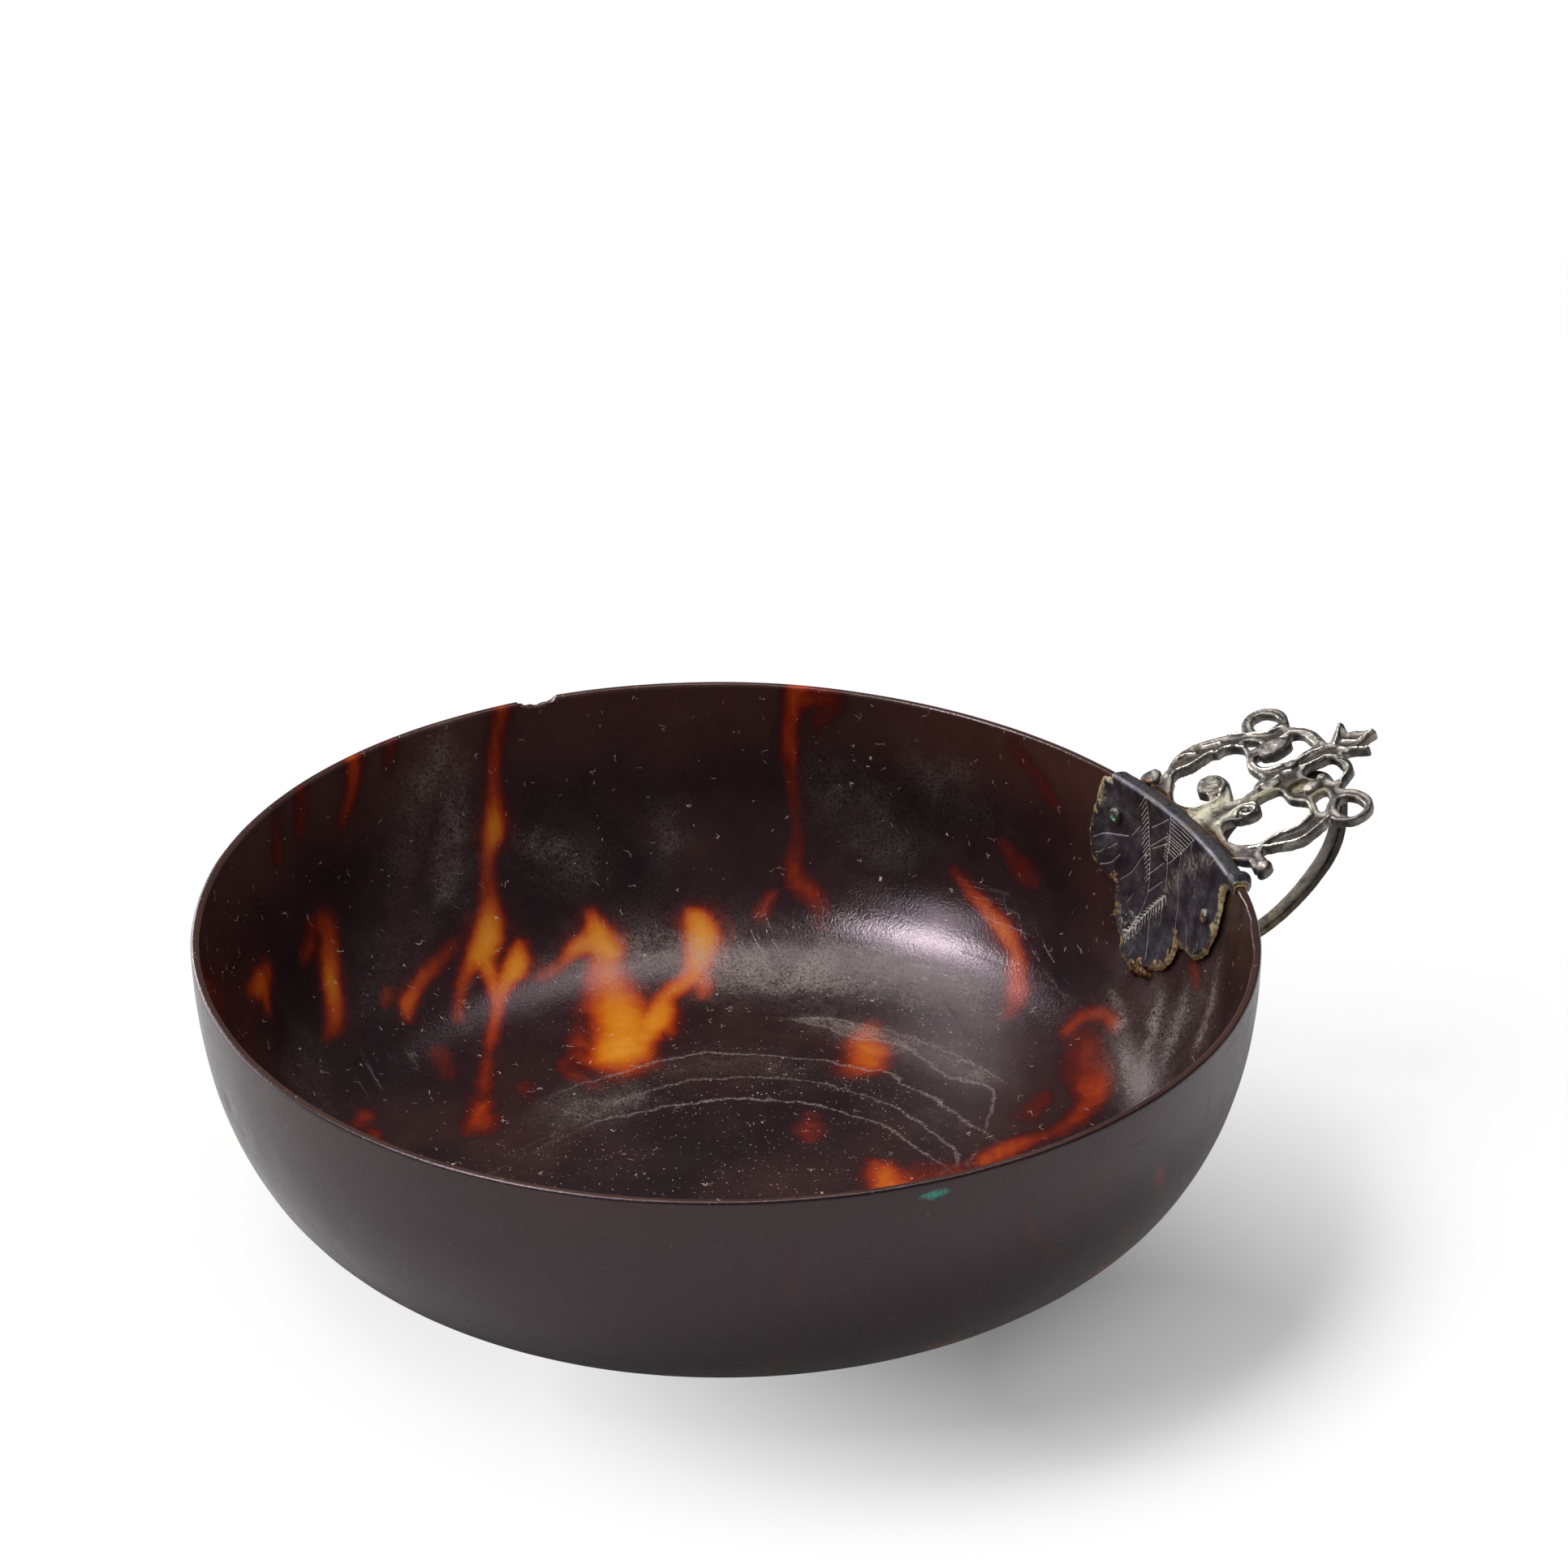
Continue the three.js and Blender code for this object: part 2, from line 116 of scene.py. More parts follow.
def new_grid(name, columns, rows):
    """A flat grid, with the column and the row of each of its points."""
    deselect()
    bpy.ops.mesh.primitive_grid_add(x_subdivisions=columns - 1, y_subdivisions=rows - 1, size=1)
    sheet = bpy.context.object
    sheet.name = name
    across = corners(sheet)[:, :2] * MM + 0.5
    i, j = np.rint(across * [columns - 1, rows - 1]).astype(int).T
    return sheet, i, j


def smooth(piece, angle=40):
    choose(piece)
    bpy.ops.object.shade_smooth_by_angle(angle=math.radians(angle))


def grain(points, size, depth=3, seed=0.0):
    """Cloudy noise from -1 to 1 at each point, with features of about the given size in mm."""
    shift = Vector((seed, seed * 1.7, seed * 0.3))
    return np.array([noise.fractal(Vector(p) / size + shift, 0.6, 2.0, depth) for p in points])


def along(points, step=0.3, closed=False):
    """A smooth line through given points, every column carried along."""
    given = np.array(points, float)
    count = len(given)
    if count < 3:
        runs = max(2, int(np.hypot(*(given[-1] - given[0])[:2]) / step) + 1)
        return given[0] + (given[-1] - given[0]) * np.linspace(0, 1, runs)[:, None]
    out = []
    for i in range(count if closed else count - 1):
        if closed:
            a, b, c, d = (given[(i + k) % count] for k in (-1, 0, 1, 2))
        else:
            b, c = given[i], given[i + 1]
            a = given[i - 1] if i else 2 * b - c
            d = given[i + 2] if i + 2 < count else 2 * c - b
        steps = max(2, int(np.hypot(*(c - b)[:2]) / step) + 1)
        t = np.linspace(0, 1, steps, endpoint=False)[:, None]
        bend = (2 * a - 5 * b + 4 * c - d) * t**2 + (3 * b - a - 3 * c + d) * t**3
        out.append(0.5 * (2 * b + (c - a) * t + bend))
    line = np.vstack(out)
    return line if closed else np.vstack([line, given[-1]])


def nearest(points, line):
    """Distance from each 2-D point to a line, and the nearest place on it."""
    best = np.full(len(points), 1e9)
    where = np.zeros((len(points), 2))
    for start, end in zip(line[:-1, :2], line[1:, :2]):
        run = end - start
        t = np.clip(((points - start) @ run) / max(run @ run, 1e-9), 0, 1)
        spot = start + t[:, None] * run
        gap = np.hypot(*(points - spot).T)
        closer = gap < best
        best[closer] = gap[closer]
        where[closer] = spot[closer]
    return best, where


def beside(points, line):
    """Distance from each 2-D point to a smooth line, negative on its right, and its third column there."""
    near = np.concatenate([
        np.hypot(part[:, None, 0] - line[:, 0], part[:, None, 1] - line[:, 1]).argmin(axis=1)
        for part in np.array_split(points, 16)])
    run = np.gradient(line[:, :2], axis=0)[near]
    away = points - line[near, :2]
    return (run[:, 0] * away[:, 1] - run[:, 1] * away[:, 0]) / np.hypot(*run.T), line[near, 2]


def inside(points, outline):
    hit = np.zeros(len(points), bool)
    ring = np.asarray(outline)[:, :2]
    for a, b in zip(ring, np.roll(ring, -1, axis=0)):
        crosses = (a[1] > points[:, 1]) != (b[1] > points[:, 1])
        height = b[1] - a[1] if abs(b[1] - a[1]) > 1e-12 else 1e-12
        hit ^= crosses & (points[:, 0] < (b[0] - a[0]) * (points[:, 1] - a[1]) / height + a[0])
    return hit


def fade(value, low, high):
    t = np.clip((value - low) / (high - low), 0, 1)
    return t * t * (3 - 2 * t)


def swell(value, middle, spread):
    """A soft rise to 1 at the middle that is gone a few spreads away."""
    return np.exp(-(((value - middle) / spread) ** 2))


# The bowl's own curve, shared by the shell and everything fixed to it

def outside_at(turn):
    radius = FOOT_RADIUS + (RIM_RADIUS - FOOT_RADIUS) * math.cos(turn) ** (2 / SIDE_POWER)
    return np.array([radius, BOWL_HEIGHT * (1 - math.sin(turn) ** (2 / FLOOR_POWER))])


def turn_at(height):
    return math.asin((1 - height / BOWL_HEIGHT) ** (FLOOR_POWER / 2))


def wall_at(turn):
    return WALL_AT_RIM + (WALL_AT_FOOT - WALL_AT_RIM) * math.sin(turn)


def offset_from(turn, distance):
    ahead = outside_at(min(turn + 1e-3, math.pi / 2 - 1e-6))
    behind = outside_at(max(turn - 1e-3, 1e-6))
    run = (ahead - behind) / np.linalg.norm(ahead - behind)
    return outside_at(turn) + np.array([-run[1], run[0]]) * distance


def settled(points):
    """Old shell moves: the rim has gone a little oval and a little saddle-shaped."""
    x, y, z = np.asarray(points).T
    bearing = np.degrees(np.arctan2(y, x))
    rise = np.clip(z / BOWL_HEIGHT, 0, 1)
    radius = np.hypot(x, y)
    oval = OVAL * np.cos(2 * np.radians(bearing - OVAL_BEARING)) * rise
    sag = SAG * np.cos(np.radians(2 * bearing + SAG_PHASE)) * rise
    for swell, spread, height in RIM_SWELLS:
        sag = sag + height * rise * np.exp(-((np.abs(bearing - swell) / spread) ** 4))
    scale = np.where(radius > 1, (radius + oval) / np.maximum(radius, 1e-6), 1)
    return np.stack([x * scale + DRIFT[0] * rise, y * scale + DRIFT[1] * rise, z + sag], -1)


def inner_meridian(count=300):
    turns = np.linspace(turn_at(BOWL_HEIGHT - 0.05), math.pi / 2 - 1e-4, count)
    line = [offset_from(t, -wall_at(t)) for t in turns]
    edge, level = line[-1]
    floor = [np.array([r, level]) for r in np.linspace(edge, 0.0, 60)[1:]]
    return np.array(line + floor)[::-1]


MERIDIAN = inner_meridian()
MERIDIAN_RUN = np.concatenate([[0], np.cumsum(np.hypot(*np.diff(MERIDIAN, axis=0).T))])


def spread_out(points):
    """Each point of the shell laid out flat: distance run from the middle of the floor, on its bearing.
    Right and up are the photograph's right and away from the camera."""
    radius = np.hypot(points[:, 0], points[:, 1])
    bearing = np.arctan2(points[:, 1], points[:, 0]) + math.radians(VIEW_BEARING)
    run = np.empty(len(points))
    for first in range(0, len(points), 4000):
        part = slice(first, first + 4000)
        gap = np.hypot(radius[part, None] - MERIDIAN[:, 0], points[part, 2, None] - MERIDIAN[:, 1])
        run[part] = MERIDIAN_RUN[gap.argmin(axis=1)]
    return np.stack([run * np.cos(bearing), run * np.sin(bearing)], -1)


def photo_bearing(points):
    """Bearing of each point in degrees as the photograph has it, 0 right and 90 away."""
    return (np.degrees(np.arctan2(points[:, 1], points[:, 0])) + VIEW_BEARING + 180) % 360 - 180


# Helpers for materials

def colour(code):
    """An sRGB hex code as Blender's linear colour."""
    parts = [int(code[i:i + 2], 16) / 255 for i in (1, 3, 5)]
    return [p / 12.92 if p <= 0.04045 else ((p + 0.055) / 1.055) ** 2.4 for p in parts] + [1.0]


def new_material(name):
    """An empty material, and the function that adds nodes to it."""
    material = bpy.data.materials.new(name)
    material.use_nodes = True
    material.node_tree.nodes.clear()
    return material, partial(add, material.node_tree)


def add(tree, kind, inputs=None, out=0, stops=(), **settings):
    """Add one node with its settings, colour stops and links, and hand back the output that is wanted."""
    node = tree.nodes.new("ShaderNode" + kind)
    for name, value in settings.items():
        setattr(node, name, value)
    if stops:
        ends = node.color_ramp.elements
        while len(ends) > 1:
            ends.remove(ends[-1])
        ends[0].position = stops[0][0]
        for position, _ in stops[1:]:
            ends.new(position)
        for end, (_, shade) in zip(ends, stops):
            end.color = colour(shade) if isinstance(shade, str) else (shade, shade, shade, 1.0)
    for name, value in (inputs or {}).items():
        if isinstance(value, bpy.types.NodeSocket):
            tree.links.new(value, node.inputs[name])
        else:
            node.inputs[name].default_value = colour(value) if isinstance(value, str) else value
    return node.outputs[out] if len(node.outputs) else node


# Tortoiseshell

# Where the shell is clear. Each run is (right, away, width, clearness), laid out flat in mm.
CLEAR_RUNS = [
    # the long streak at the back left and its flame at the floor's edge
    [(-32.6, 64, 2.8, .42), (-31.6, 58, 2.0, .40), (-30.2, 54, 2.2, .52), (-28.9, 50.4, 2.6, .92),
     (-28.9, 48, 1.8, .6), (-28.3, 45, 2.2, .45), (-27.3, 42, 2.6, .62), (-27.0, 39, 3.2, 1),
     (-27.6, 36, 3.0, .95)],
    [(-27.8, 36, 2.6, .9), (-28.8, 33.5, 1.6, .55), (-29.3, 30, 1.2, .42), (-29.4, 26, .8, .3)],
    [(-27.3, 36, 2.2, .85), (-25.9, 33, 1.8, .7), (-25.2, 30, 1.4, .6), (-25.5, 25, 1.0, .42),
     (-25.9, 20, .9, .36), (-26, 14, 1.2, .36), (-26, 8, 2.2, .48), (-26.7, 4.5, 1.4, .4)],
    [(-23.3, 38.6, 1.2, .6), (-23.5, 36, 2.4, .95), (-24.5, 33.4, 1.8, .8), (-25, 31, 1.2, .62)],
    # red streak left of it
    [(-30.8, 36, 1.8, .34), (-33, 32.4, 1.7, .44), (-34, 30, 1.4, .5), (-35, 26.6, 1.6, .66),
     (-34.8, 24.4, .9, .4)],
    [(-37.5, 27.2, 1.0, .38), (-37.6, 25.4, .8, .32)],
    # the curved patch on the left wall
    [(-49, 28, 2.6, .34), (-47, 29.8, 4.0, .42), (-45.6, 27, 3.0, .58), (-44.7, 24.8, 2.4, .72),
     (-43.7, 22.4, 2.6, .64), (-43.2, 19.4, 2.4, .46), (-43.7, 16.5, 1.2, .3)],
    [(-48.6, 26.5, 2.2, .36), (-48.8, 24, 1.4, .26)],
    [(-53.8, 17.8, 2.6, .5), (-54.3, 15, 3.2, .64), (-55.7, 12.4, 1.6, .36)],
    [(-53.4, 15.6, 2.2, .6), (-52.1, 13.6, 1.4, .4)],
    # clear edge of the plate at the back left rim
    [(-53, 49, 3.4, .5), (-51.3, 46.6, 2.6, .44), (-50.5, 44, 2.0, .36), (-50.2, 41, 1.8, .28)],
    [(-48, 53, 3.6, .34), (-46, 50, 2.0, .2)],
    [(-59, 39, 3.4, .26), (-56.4, 36, 3.0, .24)],
    [(-61, 33.5, 3.4, .22), (-58.4, 30.6, 2.8, .3)],
    # the gold flames in the middle
    [(-15.6, 43.9, 1.2, .6), (-14.9, 42.2, 2.6, .92), (-14.4, 40.7, 4.4, 1), (-13.2, 39.6, 3.0, .9)],
    [(-15.8, 40.4, 2.6, .9), (-17.4, 39, 2.0, .72), (-18.6, 37, 1.6, .52), (-20.6, 35, 2.2, .4)],
    [(-13.6, 40.2, 4.2, .8), (-13.6, 37, 5.2, .62), (-13.2, 34, 6.4, .66), (-12.4, 31, 7.4, .78),
     (-11.6, 28, 7.4, .88), (-11.4, 25, 7.2, .94), (-12.0, 21.6, 6.2, .98), (-13.4, 17.6, 4.4, .9),
     (-15.2, 14.6, 2.6, .56), (-17.2, 12.4, 1.4, .34)],
    [(-4.8, 45.4, 1.2, .5), (-3.9, 44.4, 2.8, .9), (-3.3, 42.2, 4.0, 1), (-3.6, 39.6, 3.4, .86),
     (-4.2, 36.6, 3.0, .74), (-5.8, 34.4, 2.6, .72), (-7.2, 32, 2.4, .76), (-7.8, 29, 3.6, .88),
     (-8.8, 26, 3.4, .9), (-10.6, 22, 3.0, .9)],
    [(-3.6, 37, 2.6, .62), (-3.0, 34.6, 2.2, .55), (-3.2, 32.6, 1.6, .45)],
    [(-16.2, 26, 2.2, .3), (-15.9, 22, 3.4, .38), (-17.3, 18, 2.4, .34), (-15.2, 14.6, 2.0, .4)],
    [(-6.8, 26, 1.6, .5), (-6.2, 24.6, 1.4, .42)],
    # patch on the floor and those in front of it
    [(15.2, 26.4, 2.4, .4), (14.2, 23.6, 4.4, .6), (14.7, 21, 4.8, .74), (15.0, 18.6, 3.4, .68),
     (15.1, 16.4, 1.6, .42)],
    [(15.4, -2.2, 2.8, .45), (15.9, -4.6, 4.4, .62), (16.6, -8, 3.6, .62), (17.4, -12, 2.2, .4)],
    [(8.5, 8.4, 1.8, .22), (8.3, 5.6, 3.2, .36), (8.5, 3.4, 1.8, .3)],
    # streak below the mount
    [(26.2, 46, .8, .3), (27.8, 42.8, 1.4, .52), (29.4, 40, 1.6, .58), (30.9, 37, 1.8, .64),
     (31.6, 34, 1.6, .52), (31.2, 31, 2.6, .52), (31, 28.6, 3.2, .5), (30, 26, 1.6, .34)],
    [(33.4, 46.6, 1.2, .26), (34.8, 43.6, 3.0, .3), (36, 41, 2.0, .24)],
    [(40.6, 56, 2.6, .24), (42.6, 50.4, 2.2, .26), (43.6, 46.6, 1.4, .2)],
    # streak down the back wall
    [(10.2, 70.6, 3.0, .54), (8.6, 66.6, 2.2, .44), (8.2, 64, 1.8, .4), (8.0, 60, 1.4, .28),
     (8, 54, 2.0, .26), (7.3, 49.6, 2.6, .34), (9.6, 46, 2.6, .28), (10, 42.6, 1.2, .2)],
    [(9, 69.4, 2.6, .44), (15.4, 68.6, 3.4, .36), (12, 66, 2.4, .24)],
    [(4.4, 47, 1.0, .38), (3.2, 45, 1.8, .4)],
    # the arch and the glow at the right of the floor
    [(36.2, 21.4, 2.2, .4), (38, 22.4, 2.2, .4), (40.5, 21.4, 1.6, .42), (41.6, 18.8, 1.8, .36)],
    [(37.4, 19, 5.0, .28), (37.6, 14, 6.0, .36), (38.2, 10.4, 4.8, .52), (37, 7, 3.4, .4),
     (34.6, 4, 3.0, .3), (30.8, 2.2, 2.6, .4), (28, .2, 3.2, .54), (25.6, -2, 2.4, .46),
     (23, -5, 2.4, .34)],
    [(33, 11, 2.4, .24), (31, 7, 3.2, .27)],
    [(54.8, 16.2, 1.8, .38), (54.2, 13.8, 1.4, .3)],
    [(-38, 6.8, 1.6, .36), (-38.9, 4.8, 1.8, .3)],
    [(-37, 3.6, 1.6, .36), (-36.6, 1, 1.2, .3)],
    [(-31, 20, 3.2, .25), (-30, 16, 2.2, .22)],
    [(-22, 15, 1.4, .3), (-21.6, 12, 1.0, .24)],
    [(-61, 3, 6.5, .24), (-66, -5, 6.0, .3), (-66, -12, 4.0, .24)],
    # out of sight on the near wall, in keeping with the rest
    [(-20, -44, 2.0, .3), (-22, -52, 3.0, .5), (-25, -60, 2.2, .42)],
    [(2, -38, 2.6, .44), (4.2, -46, 3.4, .62), (7, -58, 2.0, .4)],
    [(38, -30, 3.4, .5), (42, -37, 2.6, .6), (45, -44, 1.6, .4)],
    [(50, -22, 2.0, .5), (54, -25, 1.6, .42)],
]

# Clear marks seen on the outside only: (bearing in degrees, depth down the wall, width, clearness)
OUTSIDE_RUNS = [
    [(-83.6, 4.5, .7, .22), (-83.4, 9.5, .8, .26), (-83, 12, .5, .18)],
    [(-58.4, 4.6, .6, .3), (-57, 8, .7, .42), (-54.6, 11, .7, .36), (-51.6, 13.6, .5, .26)],
    [(-38.6, 9, 1.8, .62), (-37.4, 11, 1.6, .5), (-36.2, 12.6, 1.0, .34)],
    [(-44, 20.6, 2.0, .5), (-38, 21.6, 3.0, .66), (-33, 23, 1.6, .5)],
    [(-66, 23, 2.2, .5), (-62, 25, 3.0, .72), (-58, 28.6, 2.4, .6)],
    [(-132, 25, 3.4, .36), (-126, 27, 3.0, .34)],
    [(-112, 27, 3.6, .34), (-106, 29, 3.4, .3)],
    [(-150, 24, 2.6, .26), (-146, 27, 2.2, .3)],
]


def clearness(flat, runs):
    """How clear the shell is at each flat place: runs with soft, drawn-out edges."""
    total = np.zeros(len(flat))
    for run in runs:
        line = along(run, 0.8)
        for a, b in zip(line[:-1], line[1:]):
            step = b[:2] - a[:2]
            t = np.clip(((flat - a[:2]) @ step) / max(step @ step, 1e-9), 0, 1)
            gap = np.hypot(*(flat - a[:2] - t[:, None] * step).T)
            half = (a[2] + t * (b[2] - a[2])) / 2
            level = a[3] + t * (b[3] - a[3])
            core = 1 - fade(gap, half * 0.1, half * 1.4 + 0.9)
            halo = 0.36 * np.exp(-((gap / (half + 2.0)) ** 2))
            total = np.maximum(total, level * np.maximum(core, halo))
    return total


def shell_profile():
    """The bowl's section: from the middle of the floor up to the lip, down the outside and in to the foot."""
    foot = math.pi / 2 - 1e-4
    low = turn_at(BOWL_HEIGHT - 0.5)
    inner = [offset_from(t, -wall_at(t)) for t in np.linspace(foot, low, 84)]
    outer = [offset_from(t, 0) for t in np.linspace(low, foot, 60)]
    lip = [(RIM_RADIUS - inward, height) for inward, height in LIP]
    middle = [(r, inner[0][1]) for r in (0.02, *np.arange(1.5, 17, 1.5))]
    under = [(r, 0.0) for r in (FOOT_RADIUS + 0.02, 14, 10, 6, 2, 0.02)]
    return [*middle, *inner, *lip, *outer[:-1], *under]


def turned_shell(sectors=360):
    """Draw the section out point by point, then spin it round the middle."""
    deselect()
    bpy.ops.mesh.primitive_circle_add(vertices=3, radius=MM * 0.001, location=(0, 0, 0))
    shell = bpy.context.object
    shell.name = "tortoiseshell_bowl"
    bpy.ops.object.mode_set(mode="EDIT")
    bpy.ops.mesh.select_all(action="SELECT")
    bpy.ops.mesh.merge(type="CENTER")
    here = Vector((0, 0, 0))
    for index, (r, z) in enumerate(shell_profile()):
        there = Vector((r * MM, 0, z * MM))
        if index:
            bpy.ops.mesh.extrude_vertices_move(TRANSFORM_OT_translate={"value": there - here})
        else:
            bpy.ops.transform.translate(value=there)
        here = there
    bpy.ops.mesh.select_all(action="SELECT")
    bpy.ops.mesh.spin(steps=sectors, angle=2 * math.pi, center=(0, 0, 0), axis=(0, 0, 1))
    bpy.ops.mesh.select_all(action="SELECT")
    bpy.ops.mesh.remove_doubles(threshold=0.03 * MM)
    bpy.ops.mesh.normals_make_consistent(inside=False)
    bpy.ops.object.mode_set(mode="OBJECT")
    return shell


def flake_cutter():
    """A shell-shaped scoop for the flake lost from the rim at the back."""
    deselect()
    bpy.ops.mesh.primitive_ico_sphere_add(subdivisions=5, radius=MM)
    scoop = bpy.context.object
    points = corners(scoop)
    rings = 1 + 0.035 * np.sin(np.hypot(points[:, 0] - 0.9, points[:, 2]) * 16)
    points = points * (rings + 0.05 * grain(points, 0.7, 3, 4.0))[:, None] * FLAKE_SIZE
    bearing = math.radians(FLAKE_BEARING)
    turn = np.array(Matrix.Rotation(bearing + math.pi / 2, 3, "Z"))
    reach = RIM_RADIUS * 0.992
    centre = settled([[reach * math.cos(bearing), reach * math.sin(bearing), BOWL_HEIGHT + 0.25]])
    place(scoop, points @ turn.T + centre)
    return scoop


# Dried wine on the floor: (right, away, strength) along each thin ragged line, laid out flat
TIDE_LINES = [
    [(-20, 11.5, 0), (-18, 13.5, .5), (-13.8, 15.8, .7), (-9.8, 18.2, .8), (-5.2, 20.5, .9), (-1.8, 21, 1),
     (3.5, 20.5, .9), (8.5, 19.8, .8), (12, 18.5, .9), (15.5, 17, 1), (18.8, 14, .9), (21.8, 11.2, .9),
     (24.2, 7.2, .8), (26.5, 4, .6), (28.8, 1.5, 0)],
    [(-12.5, 10, 0), (-10.8, 11.5, .4), (-8, 13.5, .6), (-5.2, 14.8, .6), (-1.8, 15.5, .7),
     (3.5, 15.8, .6), (8, 15, .5), (10.5, 14.2, .4), (14.2, 12, .5), (17, 9.8, .8), (19.8, 6.8, .8),
     (22, 3, .9), (23.5, .8, .8), (24, -1.5, .6), (23, -3, 0)],
    [(-15, 6, .2), (-13.5, 7.2, .6), (-9.2, 9, .8), (-6.2, 10.2, .9), (-2.2, 11, 1), (2.2, 11.2, 1),
     (6.8, 10.5, .9), (10.5, 9.2, .9), (14.2, 7, .8), (17, 4.8, .8), (18.5, 2.2, .7), (20.5, -.2, .8),
     (22.2, -2.5, .5), (24, -5, 0)],
    [(6, 28.4, 0), (7.5, 27.5, .6), (10.5, 26, .7), (13, 24.2, .7), (16.2, 23.2, .7), (18.8, 21.8, .8),
     (20.8, 19, .9), (23, 16, .9), (25.2, 14.5, 1), (27, 13.2, .9), (27.8, 11, .8), (27.2, 7.2, .6),
     (26.5, 4.5, 0)],
    [(4, 28.2, 0), (5.2, 28, .5), (8.8, 27.8, .7), (12.2, 27.5, .7), (15, 26, .5), (18, 24.5, .5),
     (20.8, 22.5, .5), (23.5, 20, .5), (26.5, 17.2, .6), (28.5, 14.8, .4), (29.5, 13, 0)],
]
# Where specks of dust lie thickest: (right, away, width, strength)
DUSTY_RUNS = [
    [(-16, 32, 3, .2), (-6, 35, 7, .45), (4, 35, 9, .6), (12, 33, 9, .6), (19, 29, 8, .6), (25, 23, 6, .5),
     (29, 16, 5, .3)],
    [(9, 60, 2, .1), (13, 58, 4, .2), (18, 56, 4, .2), (22, 54, 2, .1)],
    [(-25, 50, 3, .3), (-20, 50, 4, .5), (-15, 48, 3, .3)],
    [(-8, 54, 2.4, .4), (-7.4, 53, 2.0, .4)],
    [(-22, 30, 6, .3), (-16, 24, 8, .4), (-10, 18, 8, .4)],
    [(11.5, 13.5, 3, .9), (13, 12.4, 2, .6)], [(3, 13.2, 2.4, .8), (5.4, 12.4, 1.4, .7)],
    [(8.4, 8.4, 2.0, .9), (8.2, 5.4, 2.4, .8)], [(-2, -2, 8, .3), (6, -4, 8, .3)],
]
# Where a thin film has dried on the polish, and where reflections are painted in grey: (right, away, width,
# strength)
FILM_AND_SHEEN_RUNS = [
    # the grey band above the floor's edge: dried film, and a painted reflection of a lamp behind the bowl
    [(-21, 35.5, 3, .1), (-14.5, 38, 6, .6), (-8, 39, 7, .9), (-1.8, 38.4, 7.5, 1), (4.2, 37.4, 8, 1.1),
     (10.5, 36.4, 8, 1), (17.5, 34.2, 7, .8), (24, 30.6, 6, .5), (28, 26, 4, .2)],
    # the crescent between two tide lines, and the smear where two of them meet
    [(8.5, 27.6, .6, .6), (11, 26.9, 1.5, .9), (14.2, 25.4, 2.2, 1), (18.4, 23.0, 2.6, 1),
     (21.2, 20.6, 3.4, 1), (24, 17.6, 3.6, 1), (26.6, 15, 2.2, .8)],
    [(-17, 6.6, 1.6, .4), (-14.2, 9.2, 2.6, .8), (-12, 10.6, 2.4, .8), (-9.6, 11.8, 1.0, .5)],
    [(-12, 14.6, 3, .14), (-2, 18, 4, .16), (8, 17.4, 4, .16), (17, 12.6, 4, .16), (22.6, 6, 3, .12)],
    # cloudy patches up the back wall; the first, an upright milky streak, is a painted reflection
    [(-37, 58, 2, .1), (-36.4, 55.2, 2.8, .3), (-35.2, 51.5, 3.6, .55), (-34.2, 48.2, 3.8, .7),
     (-33.6, 44.5, 3.4, .7), (-33.2, 41, 2.6, .4)],
    [(-33.6, 40, 3, .1), (-37.8, 31.2, 7, .16), (-39.5, 23.8, 5, .1)],
    [(-25, 50.2, 3, .3), (-21.2, 50, 4.4, .45), (-17.5, 49.5, 4, .4), (-16, 48.5, 2, .16)],
    [(-7.8, 55.2, 1.8, .3), (-7.2, 53, 2.2, .42)],
    [(11.5, 59.8, 6, .22), (15.2, 56.5, 8, .26), (18.5, 51.2, 7, .22), (22.2, 49.5, 4, .16)],
    [(29.8, 57, 5, .18), (32.5, 51.2, 4, .14)],
    [(-46, 14, 6, .12), (-44, 2, 8, .14), (-42, -10, 6, .1)], [(30, -34, 8, .12), (10, -46, 8, .14),
     (-14, -44, 8, .12)],
    # painted reflections: grey streaks down the wall below the mount, along the scraper ridges
    [(42.2, 23.2, 1.2, .4), (42.2, 18, 1.5, 1), (42.5, 12.5, 1.8, 1.2), (42.8, 6.8, 1.6, .5)],
    [(47.8, 18, 1.0, .7), (46, 15, 1.4, 1.3), (44.2, 11.2, 1.4, 1), (43, 6.5, 1.2, .5)],
    [(52.8, 15.5, 1.2, .8), (50, 12.5, 1.5, 1.1), (47.5, 9.8, 1.2, .9), (45.2, 6, 1.0, .4)],
    [(59, 11.5, 1.4, .8), (55.5, 8.8, 1.6, 1.1), (51.8, 6.2, 1.2, .6)],
    [(58, 12, 5, .34), (51, 12, 7, .46), (44, 11, 6, .34)],
    # the paler wall at the back left
    [(-39.5, 56, 5, .4), (-39.8, 49.8, 6, .42), (-39.8, 43.8, 5, .3), (-38.8, 38.5, 4, .12)],
    [(25, 60, 4, .2), (28, 55, 4, .2), (33, 50, 3, .12)],
]
# A touch of verdigris just under the front rim: (bearing, depth, width, strength)
VERDIGRIS_RUNS = [
    [(-70.4, .8, .4, .7), (-69.4, .9, .7, 1), (-68.0, .8, .7, 1), (-67.0, .6, .4, .7)],
]


